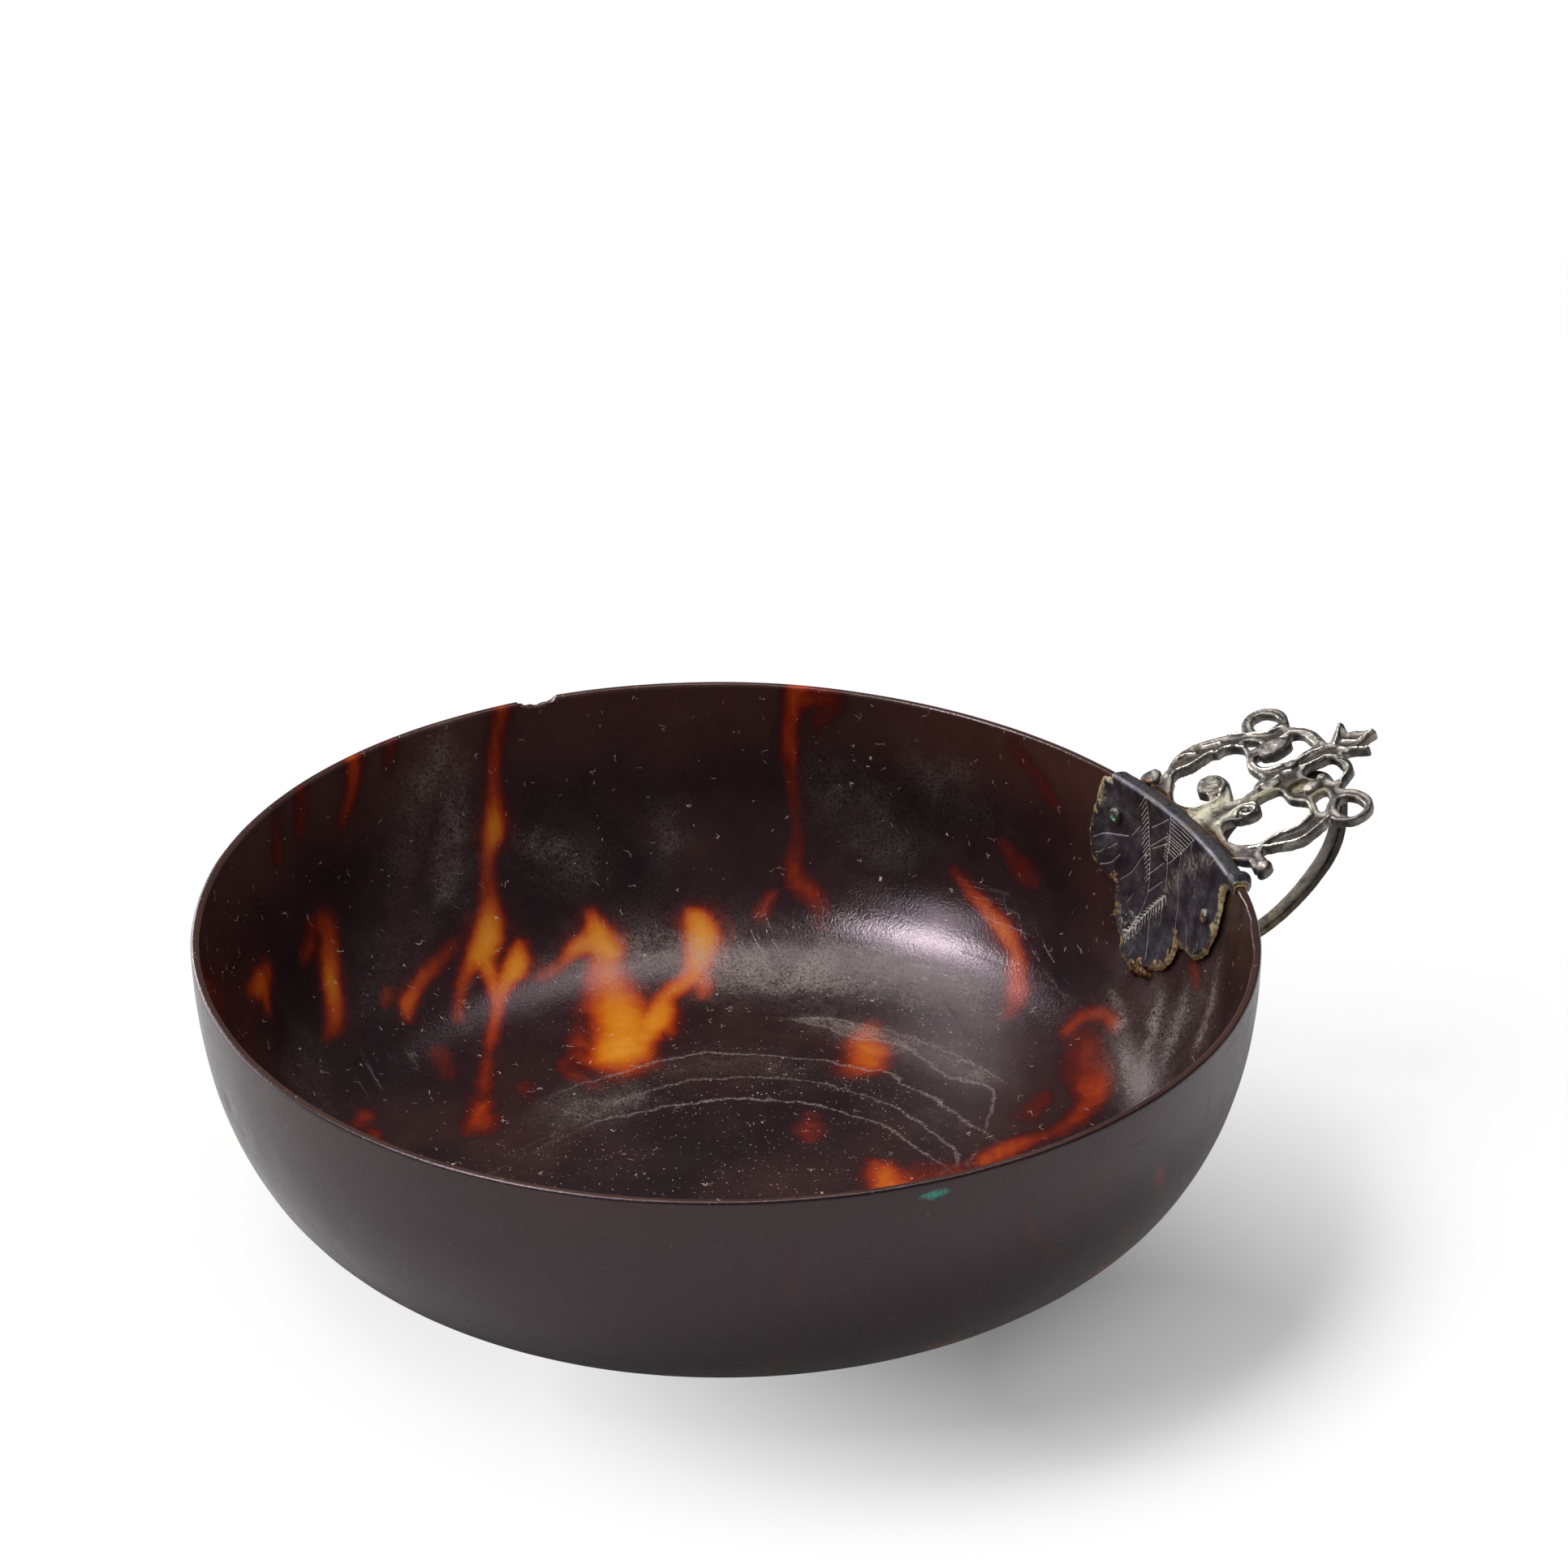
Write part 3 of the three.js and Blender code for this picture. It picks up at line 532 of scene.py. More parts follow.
def formed_shell():
    """The turned shell with the marks of its making and its use, and its flake lost."""
    shell = turned_shell()
    points = corners(shell)
    radius = np.maximum(np.hypot(points[:, 0], points[:, 1]), 1e-6)
    bearing = photo_bearing(points)
    out = points[:, :2] / radius[:, None]
    rise = np.clip(points[:, 2] / BOWL_HEIGHT, 0, 1)
    # scraped and polished by hand: the wall wanders by a few hundredths of a millimetre
    wander = 0.06 * grain(points, 15, 3, 1.0) * fade(rise, 0.02, 0.3)
    # upright scraper ridges on the right wall, inside
    within = radius < RIM_RADIUS - 0.4 - 7 * (1 - rise) ** 2
    ridges = 0.085 * np.sin(np.radians(bearing) * 40 + 2.2 * grain(points, 14, 1, 7.0))
    ridges += 0.03 * np.sin(np.radians(bearing) * 105 + 3.0 * grain(points, 9, 1, 8.0))
    ridges *= fade(bearing, -20, -4) * (1 - fade(bearing, 24, 34)) * within * fade(rise, 0.06, 0.3)
    points[:, :2] += out * (wander + ridges)[:, None]
    # dings: a degree is 0.94 mm on the outside
    for ding, level, size in DINGS:
        gap = np.hypot((bearing - ding) * 0.94, points[:, 2] - level)
        points[:, :2] -= out * (DING_DEPTH * swell(gap, 0, size) * (radius > RIM_RADIUS * 0.9))[:, None]
    place(shell, settled(points))
    scoop = flake_cutter()
    modify(shell, "BOOLEAN", operation="DIFFERENCE", solver="EXACT", object=scoop)
    bpy.data.objects.remove(scoop, do_unlink=True)
    return shell


def make_bowl():
    """The shell, with the places of its clear figure, film and painted reflections, dust and stains marked on
    it.
    """
    shell = formed_shell()
    points = corners(shell)
    flat = spread_out(points)
    normals = facing(shell)
    radius = np.maximum(np.hypot(points[:, 0], points[:, 1]), 1)
    sideways = (normals[:, 0] * points[:, 0] + normals[:, 1] * points[:, 1]) / radius
    outward = sideways - 0.4 * normals[:, 2] > 0.05
    reach = np.hypot(*flat.T)
    run_down = MERIDIAN_RUN[-1] - reach
    outside = np.stack([photo_bearing(points), run_down], -1)
    seen = clearness(flat, CLEAR_RUNS)
    mark(shell, "clear", np.where(outward, np.maximum(0.35 * seen, clearness(outside, OUTSIDE_RUNS)), seen))
    mark(shell, "outer", outward.astype(float))
    dust = 0.34 + 0.4 * (1 - fade(reach, 18, 34))
    dust = np.maximum(dust, clearness(flat, DUSTY_RUNS) + 0.3)
    mark(shell, "dust", np.where(outward, 0.1, dust))
    mark(shell, "film_and_sheen", np.where(outward, 0, clearness(flat, FILM_AND_SHEEN_RUNS)))
    mark(shell, "verdigris", np.where(outward, clearness(outside, VERDIGRIS_RUNS), 0))
    # the top few millimetres are browner, as shell is where it is thin
    mark(shell, "thin", 1 - fade(run_down, 1.0, 11.0))
    levels = np.zeros(len(flat))
    closest = np.full(len(flat), 1e9)
    for count, line in enumerate(TIDE_LINES):
        gap, level = beside(flat, along(line, 0.5))
        mark(shell, f"tide_{count}", gap)
        levels = np.where(np.abs(gap) < closest, level, levels)
        closest = np.minimum(np.abs(gap), closest)
    mark(shell, "tide_level", np.where(outward, 0, levels))
    smooth(shell, 35)
    return shell


def tortoiseshell():
    """Tortoiseshell, scraped, pressed to shape and polished with oil: dark purple-brown
    with clear amber where light comes through, its polish gone soft, dusty and stained,
    and with grey painted reflections on its wall."""
    material, node = new_material("tortoiseshell_polished")
    where = node("TexCoord", out="Object")
    clear, outer, dust, film_and_sheen, thin, tide_level, green = (
        node("Attribute", out="Fac", attribute_name=name)
        for name in ("clear", "outer", "dust", "film_and_sheen", "thin", "tide_level", "verdigris")
    )
    # clouds: (size in mm, detail, roughness, distortion)
    fleck, brown, kept, holes, smear, ragged = (
        node("TexNoise", {"Vector": where, "Scale": 1 / (size * MM), "Detail": detail, "Roughness": rough,
                          "Distortion": bent})
        for size, detail, rough, bent in (
            (0.9, 4, 0.65, 0), (22, 4, 0.6, 0), (1.3, 1, 0.5, 0), (0.28, 3, 0.65, 0), (6, 5, 0.65, 1.2),
            (2.4, 5, 0.6, 0))
    )
    # the plate's figure is drawn out along the wall: 5 mm clouds, three times as tall, and 0.9 mm flecks
    tall = node("Mapping", {"Vector": where, "Scale": (200, 200, 70)})
    drawn = node("TexNoise", {"Vector": tall, "Scale": 1.0, "Detail": 4.0, "Roughness": 0.6})
    level = node("Math", {0: drawn, 1: 0.44, 2: clear}, operation="MULTIPLY_ADD")
    level = node("Math", {0: fleck, 1: 0.16, 2: level}, operation="MULTIPLY_ADD")
    level = node("Math", {0: level, 1: 0.3}, operation="SUBTRACT")
    # no marbling where the plate is solid dark
    figured = node("MapRange", {"Value": clear, "From Min": 0.0, "From Max": 0.16})
    level = node("Math", {0: level, 1: figured}, operation="MULTIPLY", use_clamp=True)
    shell = node("ValToRGB", {"Fac": level}, stops=[
        (0.0, "#22161a"), (0.14, "#33171b"), (0.3, "#5e1a10"), (0.45, "#98310e"), (0.6, "#c0510c"),
        (0.76, "#d47411"), (0.9, "#df861c"), (1.0, "#e8962c")])
    # browner toward the rim and in 22 mm clouds
    brown = node("MapRange", {"Value": brown, "From Min": 0.42, "From Max": 0.72, "To Max": 0.5})
    brown = node("Math", {0: thin, 1: 0.6, 2: brown}, operation="MULTIPLY_ADD", use_clamp=True)
    dark = node("MapRange", {"Value": level, "From Max": 0.2, "To Min": 1.0, "To Max": 0.0})
    brown = node("Math", {0: brown, 1: dark}, operation="MULTIPLY")
    # the outside is duller and greyer, rubbed by hands and shelves
    rub = node("Math", {0: outer, 1: 0.8}, operation="MULTIPLY")
    # dust: specks up to 0.25 mm across in cells of 0.4 mm, sparser motes of 0.15 mm, and short pale fibres
    cells = node("TexVoronoi", {"Vector": where, "Scale": 1 / (0.4 * MM)}, out="Distance")
    chance = node("SeparateColor", {"Color": cells.node.outputs["Color"]})
    size = node("Math", {0: chance, 1: dust}, operation="MULTIPLY")
    size = node("Math", {0: size, 1: 0.33, 2: -0.06}, operation="MULTIPLY_ADD")
    speck = node("Math", {0: cells, 1: size}, operation="LESS_THAN")
    shine = node("MapRange", {"Value": chance.node.outputs["Green"], "To Min": 0.3, "To Max": 1.3})
    speck = node("Math", {0: speck, 1: shine}, operation="MULTIPLY")
    motes = node("TexVoronoi", {"Vector": where, "Scale": 1 / (1.7 * MM)}, out="Distance")
    mote_size = node("SeparateColor", {"Color": motes.node.outputs["Color"]}, out="Green")
    mote_size = node("Math", {0: mote_size, 1: 0.085, 2: -0.04}, operation="MULTIPLY_ADD")
    mote_size = node("Math", {0: outer, 1: -0.035, 2: mote_size}, operation="MULTIPLY_ADD")
    mote = node("Math", {0: motes, 1: mote_size}, operation="LESS_THAN")
    curled = node("TexNoise", {"Vector": where, "Scale": 1 / (4 * MM), "Detail": 2.0}, out="Color")
    curled = node("VectorMath", {0: curled, 1: (0.012, 0.012, 0.012)}, operation="MULTIPLY")
    curled = node("VectorMath", {0: curled, 1: where}, operation="ADD")
    hair = node("TexVoronoi", {"Vector": curled, "Scale": 1 / (3.2 * MM)}, out="Distance",
                feature="DISTANCE_TO_EDGE")
    hair = node("Math", {0: hair, 1: 0.008}, operation="LESS_THAN")
    kept = node("Math", {0: kept, 1: 0.68}, operation="GREATER_THAN")
    hair = node("Math", {0: hair, 1: kept}, operation="MULTIPLY")
    # no fibres outside
    hair = node("Math", {0: hair, 1: outer}, operation="GREATER_THAN")
    bits = node("Math", {0: speck, 1: mote}, operation="MAXIMUM")
    bits = node("Math", {0: bits, 1: hair}, operation="MAXIMUM")
    # film and painted reflections: a grey veil in clouds of 6 mm, pricked with 0.28 mm holes
    open_film = node("MapRange", {"Value": holes, "From Min": 0.36, "From Max": 0.54})
    smear = node("MapRange", {"Value": smear, "From Min": 0.4, "From Max": 0.7, "To Min": 0.4, "To Max": 1.3})
    haze = node("Math", {0: dust, 1: 0.035}, operation="MULTIPLY")
    veil_and_sheen = node("Math", {0: film_and_sheen, 1: 0.68, 2: haze}, operation="MULTIPLY_ADD")
    veil_and_sheen = node("Math", {0: veil_and_sheen, 1: smear}, operation="MULTIPLY")
    veil_and_sheen = node("Math", {0: veil_and_sheen, 1: open_film}, operation="MULTIPLY", use_clamp=True)
    # dried wine: thin lines, 0.3 mm to each side, that waver in clouds of 2.4 mm
    ragged = node("Math", {0: ragged, 1: 2.0, 2: -1.0}, operation="MULTIPLY_ADD")
    tide = None
    for count in range(len(TIDE_LINES)):
        gap = node("Attribute", out="Fac", attribute_name=f"tide_{count}")
        gap = node("Math", {0: gap, 1: ragged}, operation="ADD")
        gap = node("Math", {0: gap}, operation="ABSOLUTE")
        line = node("MapRange", {"Value": gap, "From Max": 0.3, "To Min": 1.0, "To Max": 0.0})
        tide = line if tide is None else node("Math", {0: tide, 1: line}, operation="MAXIMUM")
    broken = node("MapRange", {"Value": holes, "From Min": 0.44, "From Max": 0.6, "To Min": 0.2})
    tide = node("Math", {0: tide, 1: broken}, operation="MULTIPLY")
    tide = node("Math", {0: tide, 1: tide_level}, operation="MULTIPLY")
    # stain: dried wine and film, and the reflections painted in grey on the wall
    stain = node("Math", {0: tide, 1: 0.8, 2: veil_and_sheen}, operation="MULTIPLY_ADD", use_clamp=True)
    green = node("MapRange", {"Value": green, "From Min": 0.6, "From Max": 0.9})
    green = node("Math", {0: green, 1: open_film}, operation="MULTIPLY", use_clamp=True)
    surface = shell
    for amount, paint in ((brown, "#50342d"), (rub, "#160d11"), (stain, "#a2958b"), (bits, "#dacbb6"),
                          (green, "#1f8a78")):
        surface = node("Mix", {0: amount, 6: surface, 7: paint}, out=2, data_type="RGBA")
    # fine scratches, some round the wall and some down it
    level_lines = node("Mapping", {"Vector": where, "Scale": (58, 58, 1500)})
    around = node("TexNoise", {"Vector": level_lines, "Scale": 1.0, "Detail": 6.0, "Roughness": 0.75})
    steep_lines = node("Mapping", {"Vector": where, "Rotation": (0.7, 0.5, 0.6), "Scale": (1500, 90, 90)})
    down = node("TexNoise", {"Vector": steep_lines, "Scale": 1.0, "Detail": 5.0, "Roughness": 0.7})
    scratch = node("Math", {0: around, 1: down}, operation="MAXIMUM")
    scratch = node("MapRange", {"Value": scratch, "From Min": 0.62, "From Max": 0.72})
    # an old oil polish at about 0.1, dull under dust and film and on the handled outside
    rough = 0.08
    for part, amount in ((smear, 0.05), (outer, 0.14), (stain, 0.5), (dust, 0.08)):
        rough = node("Math", {0: part, 1: amount, 2: rough}, operation="MULTIPLY_ADD")
    rough = node("Math", {0: scratch, 1: 0.1, 2: rough}, operation="MULTIPLY_ADD", use_clamp=True)
    height = node("Math", {0: scratch, 1: -0.5, 2: holes}, operation="MULTIPLY_ADD")
    bump = node("Bump", {"Strength": 0.42, "Distance": 0.00008, "Height": height})
    shader = node("BsdfPrincipled", {"Base Color": surface, "Roughness": rough, "Normal": bump, "IOR": 1.54,
                                     "Specular IOR Level": 0.45, "Specular Tint": "#ffe9f4"})
    node("OutputMaterial", {"Surface": shader})
    return material


# Silver mount: places on the plate are (across, up) in mm, up measured on the wall before it settled

PLATE_OUTLINE = [
    [(14.1, 30.3), (14.6, 28.6), (15.1, 27), (15.4, 25.3), (15.65, 23.6), (15.6, 22), (15.2, 20.7),
     (14.9, 19.7), (13.7, 19), (12.2, 18.4), (10.6, 18.2), (10.2, 17.4)],
    [(10.2, 17.4), (9.9, 16.65), (9.3, 15.3), (8.7, 14.35), (7, 13.1), (6.2, 12), (4.7, 11.55),
     (3.15, 11.75), (2, 12.5)],
    [(2, 12.5), (.1, 13.1), (-1.1, 14.15), (-1.65, 15.3), (-1.75, 17), (-1.5, 17.6)],
    [(-1.5, 17.6), (-2.8, 17.2), (-4.7, 17.2), (-6.1, 17.4), (-7.4, 18.2), (-8.6, 19.5), (-9.4, 21.5),
     (-9.7, 22.8), (-9.9, 24.2), (-9.9, 26.65), (-10.5, 27.8), (-11.85, 29), (-13.4, 30.3)],
]
FOLD_LEFT = 13.2
FOLD_RIGHT = -13.4
# The sheet's path has this many points up the inside, then the lip's, then those down the outside
LIP_START = 150
LIP_END = 165
# Clear of the shell inside the bowl, over the lip and outside it, then SHEET from there to the sheet's face
BED_CLEAR = (0.3, 0.03, 0.03)
SHEET = 0.27
SHEET_THICKNESS = 0.22
# Swellings of the plate over the rivets: (across, up, rise, width)
RIVET_SWELLS = [(11.8, 25.4, 0.22, 1.15), (-7.4, 22.7, 0.12, 1.1)]
# Cement smeared over the plate, from the right of the fold down to the plate's middle
SMEAR = [(-8, 29.9), (-5.7, 28.4), (-3.4, 26.8), (-1.46, 25.3), (.08, 23.4), (1.6, 22), (1.8, 20.5)]

# Engraving by width of cut: traditional leaf sprays, veins and hatching
CUTS = {
    0.17: [
        [(7.77, 29.9), (7.1, 27.8), (6.52, 25.3), (6.04, 24), (5.62, 22.4), (5.23, 20.9), (5.04, 19.35)],
        [(2.87, 29.4), (2.87, 27), (2.77, 25.5), (2.67, 24.35), (2.42, 23.2), (2.29, 21.85), (1.8, 21.3)],
        [(-1.94, 28.3), (-1.56, 27), (-1.85, 25.7)],
        [(1.8, 20.5), (3.6, 18.5), (5.2, 16), (6.8, 13.4)],
    ],
    0.15: [
        [(.08, 26.75), (.27, 25.1), (-.12, 22.8), (-.6, 21.5), (-1.08, 19.15), (-1.56, 17.8)],
        [(5.04, 19.35), (5.46, 17), (6.04, 15.3), (6.7, 13.4)],
        [(3.73, 17), (3, 15.2), (2, 13.1)],
        [(-3.2, 25.7), (-3.3, 24.9)], [(-3.58, 23.9), (-3.87, 23)], [(-4.25, 21.9), (-4.5, 21.5)],
        [(-3.48, 19.6), (-3.96, 18.6), (-4.35, 17.6)], [(-6.56, 19.35), (-6.85, 18.6)],
        [(2.77, 19.15), (2.38, 18.2)], [(2.38, 19.8), (2, 18.8)], [(3.25, 18.6), (2.67, 17.6)], [(2, 19),
         (1.7, 17.2)],
    ],
    0.12: [
        [(3.25, 28.9), (4.8, 27.6), (6.23, 26.5)], [(3.25, 26.85), (4.8, 25.5), (6.2, 24.2)], [(3.15, 26),
         (5.65, 24.25)],
        [(3.25, 23.7), (5.27, 21.5)], [(3.0, 21.6), (4.9, 19.6)],
        [(15, 21.55), (13.5, 22.6), (11.8, 23.2), (9.8, 23.85)], [(14.3, 20), (13.5, 20.5), (13.2, 20.9)],
        [(12.6, 21.2), (11.4, 22.3)],
        [(13.3, 19.05), (11.8, 19.9), (10.65, 21.3)], [(9.8, 18.8), (8.35, 20.3), (7.2, 22.4),
         (6.4, 23.2)],
        [(9.3, 24.25), (8.5, 25.3), (8.15, 25.8)], [(7.4, 18.2), (7.9, 16.9)], [(8.8, 16.3), (8.4, 15.4)],
        [(.4, 14.4), (.55, 13.5)], [(4.7, 12.9), (4.85, 12.2)], [(-7.4, 29.3), (-6.4, 28.2)],
        [(2.4, 24), (1.2, 25.3), (-.2, 26.8), (-2.4, 29.2)],
    ],
}


def fine_cuts():
    """Feathering beside the spine and the leaf below it, ticks, and the shaded triangle's hatching."""
    cuts = []
    spine = along(CUTS[0.17][0], 0.62)
    for count, (across, up) in enumerate(spine):
        if not 20.4 < up < 29.4:
            continue
        reach = 1.5 + 0.2 * math.sin(count * 2.3) - 0.6 * (up < 23.3)
        cuts.append([(across + 0.18, up), (across + 0.18 + reach * 0.5, up - reach * 0.85)])
    for up in (29.1, 28.6, 28.1, 27.6, 27.1, 26.75, 26.4, 26.0, 25.6, 25.2):
        tip = -2.4 + (29.2 - up) * 0.92
        cuts.append([(2.75, up + 0.05), (tip + 0.15, up - 0.06)])
    for up in (27, 26.6, 26.2, 25.8, 25.4, 25.0, 24.6, 24.2):
        cuts.append([(3.45, up + 0.2), (2.75, up)])
    for across, up in along(CUTS[0.17][3], 0.7):
        cuts.append([(across + 0.1, up), (across + 0.75, up - 0.35)])
        cuts.append([(across - 0.1, up - 0.1), (across - 0.35, up - 0.9)])
    return cuts


def sheet_path(lift):
    """The line that one face of the folded sheet follows over the lip, as (radius, height)."""
    inner, over, outer = (clear + lift for clear in BED_CLEAR)
    at_lip = lift + 0.04
    up = [offset_from(turn_at(z), -wall_at(turn_at(z)) - inner + (inner - at_lip) * fade(z, 21.0, 28.5))
          for z in np.linspace(8.2, BOWL_HEIGHT - 0.7, LIP_START)]
    top = BOWL_HEIGHT + over
    # the fold is tight inside the lip and rounder outside it
    tight = 0.22
    start = RIM_RADIUS - WALL_AT_RIM - at_lip + tight
    arc = [(start - tight * math.cos(a), top - tight + tight * math.sin(a))
           for a in np.linspace(0.1, math.pi / 2, 8)]
    loose = 0.45
    end = RIM_RADIUS + outer - loose
    edge = [(end + loose * math.sin(a), top - loose + loose * math.cos(a))
            for a in np.linspace(0, math.pi / 2, LIP_END - LIP_START - len(arc))]
    down = [offset_from(turn_at(z), outer) for z in np.linspace(BOWL_HEIGHT - 0.5, 10.0, 60)]
    line = np.array([*up, *arc, *edge, *down])
    run = np.concatenate([[0], np.cumsum(np.hypot(*np.diff(line, axis=0).T))])
    return line, run


def cut_sheet(name, columns, rows, edges):
    """A flat sheet on a grid, cut to an outline and its openings, its edge drawn onto them."""
    sheet, i, j = new_grid(name, len(columns), len(rows))
    flat = np.stack([columns[i], rows[j]], -1)
    place(sheet, np.column_stack([flat, np.zeros(len(flat))]))
    keep = inside(flat, edges[0])
    for opening in edges[1:]:
        keep &= ~inside(flat, opening)
    choose(sheet)
    bpy.ops.object.mode_set(mode="EDIT")
    bpy.ops.mesh.select_all(action="DESELECT")
    bpy.ops.mesh.select_mode(type="VERT")
    bpy.ops.object.mode_set(mode="OBJECT")
    sheet.data.vertices.foreach_set("select", ~keep)
    bpy.ops.object.mode_set(mode="EDIT")
    bpy.ops.mesh.delete(type="VERT")
    bpy.ops.mesh.select_all(action="SELECT")
    bpy.ops.mesh.delete_loose()
    bpy.ops.mesh.select_all(action="DESELECT")
    bpy.ops.mesh.select_non_manifold()
    bpy.ops.object.mode_set(mode="OBJECT")
    rim = np.zeros(len(sheet.data.vertices), bool)
    sheet.data.vertices.foreach_get("select", rim)
    flat = corners(sheet)[:, :2]
    flat[rim] = to_edges(flat[rim], edges)[1]
    return sheet, flat


def moved_out(edge, reach):
    """A closed line moved outward along its own normals."""
    after = np.roll(edge, -1, axis=0)
    ahead = after - np.roll(edge, 1, axis=0)
    normal = np.stack([ahead[:, 1], -ahead[:, 0]], -1)
    normal /= np.maximum(np.linalg.norm(normal, axis=1), 1e-9)[:, None]
    turned = np.sign((edge[:, 0] * after[:, 1] - after[:, 0] * edge[:, 1]).sum())
    return edge + normal * turned * np.broadcast_to(reach, len(edge))[:, None]


def to_edges(flat, edges):
    """How far each place is from the nearest of several closed lines, and the nearest spot on it."""
    best = np.full(len(flat), 1e9)
    where = np.zeros((len(flat), 2))
    for edge in edges:
        gap, spot = nearest(flat, np.vstack([edge, edge[:1]]))
        closer = gap < best
        best[closer] = gap[closer]
        where[closer] = spot[closer]
    return best, where


def on_lip(path, radius):
    """How far along the sheet's path a radius on the lip is reached."""
    line, run = path
    return float(np.interp(radius, line[LIP_START:LIP_END, 0], run[LIP_START:LIP_END]))


def rows_of(outline, path, spacing, far_spacing):
    """Grid lines for the folded sheet: close together inside and on the lip, wider apart outside."""
    low = outline.min(0) - spacing
    high = outline.max(0) + spacing
    near = np.arange(low[1], on_lip(path, RIM_RADIUS + 0.4) + 1.0, spacing)
    far = np.arange(near[-1] + far_spacing, high[1], far_spacing)
    return np.arange(low[0], high[0], spacing), np.concatenate([near, far, [high[1]]])


def bend_over(flat, path, lift):
    """Where flat sheet places land once folded; lift moves each along the sheet's own normal."""
    line, run = path
    ahead = np.stack([np.interp(flat[:, 1] + 0.1, run, line[:, k]) for k in (0, 1)], -1)
    behind = np.stack([np.interp(flat[:, 1] - 0.1, run, line[:, k]) for k in (0, 1)], -1)
    run_on = (ahead - behind) / np.maximum(np.linalg.norm(ahead - behind, axis=1), 1e-9)[:, None]
    radius = np.interp(flat[:, 1], run, line[:, 0]) - run_on[:, 1] * lift
    height = np.interp(flat[:, 1], run, line[:, 1]) + run_on[:, 0] * lift
    reach = np.sqrt(np.maximum(radius**2 - flat[:, 0] ** 2, 1.0))
    return settled(np.stack([reach, flat[:, 0], height], -1))


def blank_outline(path, grow=0.0, ragged=0.0, seed=0.0):
    """The whole sheet before folding: lobed plate, strip over the lip, plainer plate outside."""
    line, run = path
    top = run[LIP_START - 1]
    heights = line[:LIP_START, 1]
    lobes = [[(y, float(np.interp(z, heights, run[:LIP_START]))) for y, z in lobe] for lobe in PLATE_OUTLINE]
    inner = np.vstack([along(lobe, 0.25) for lobe in lobes])
    lip = on_lip(path, RIM_RADIUS + 0.3)
    corner = lip + 0.8
    # outside, the same lobes seen from behind
    outer = np.stack([inner[:, 0], corner + (top - inner[:, 1]) * 0.93], -1)[::-1]
    right = [[FOLD_RIGHT, top + 0.3], [FOLD_RIGHT - 0.2, lip - 0.3], [FOLD_RIGHT, corner]]
    left = [[FOLD_LEFT, corner], [FOLD_LEFT + 0.3, lip - 1.0], [FOLD_LEFT, top + 0.2]]
    whole = np.vstack([inner, right, outer, left])
    if grow:
        broad = np.array([noise.noise(Vector((x * 1.3, y * 1.3, seed))) for x, y in whole])
        narrow = np.array([noise.noise(Vector((x * 4, y * 4, seed))) for x, y in whole])
        whole = moved_out(whole, grow + ragged * (broad + 0.6 * narrow))
    return whole


def engraving(spots):
    """The burin's cuts at each place on the plate: how clearly one shows, and how deep it is."""
    cut = np.zeros(len(spots))
    deep = np.zeros(len(spots))
    strokes = [(width, 0.06, stroke) for width, group in CUTS.items() for stroke in group]
    strokes += [(0.14, 0.04, stroke) for stroke in fine_cuts()]
    for width, depth, stroke in strokes:
        trail = along(stroke, 0.3)
        close = ((spots > trail.min(0) - 0.5) & (spots < trail.max(0) + 0.5)).all(1)
        gap, _ = nearest(spots[close], trail)
        groove = np.clip(1.25 - gap / (width / 2 + 0.03), 0, 1)
        cut[close] = np.maximum(cut[close], groove * min(1.0, depth / 0.045))
        deep[close] = np.maximum(deep[close], groove * depth)
    return cut, deep


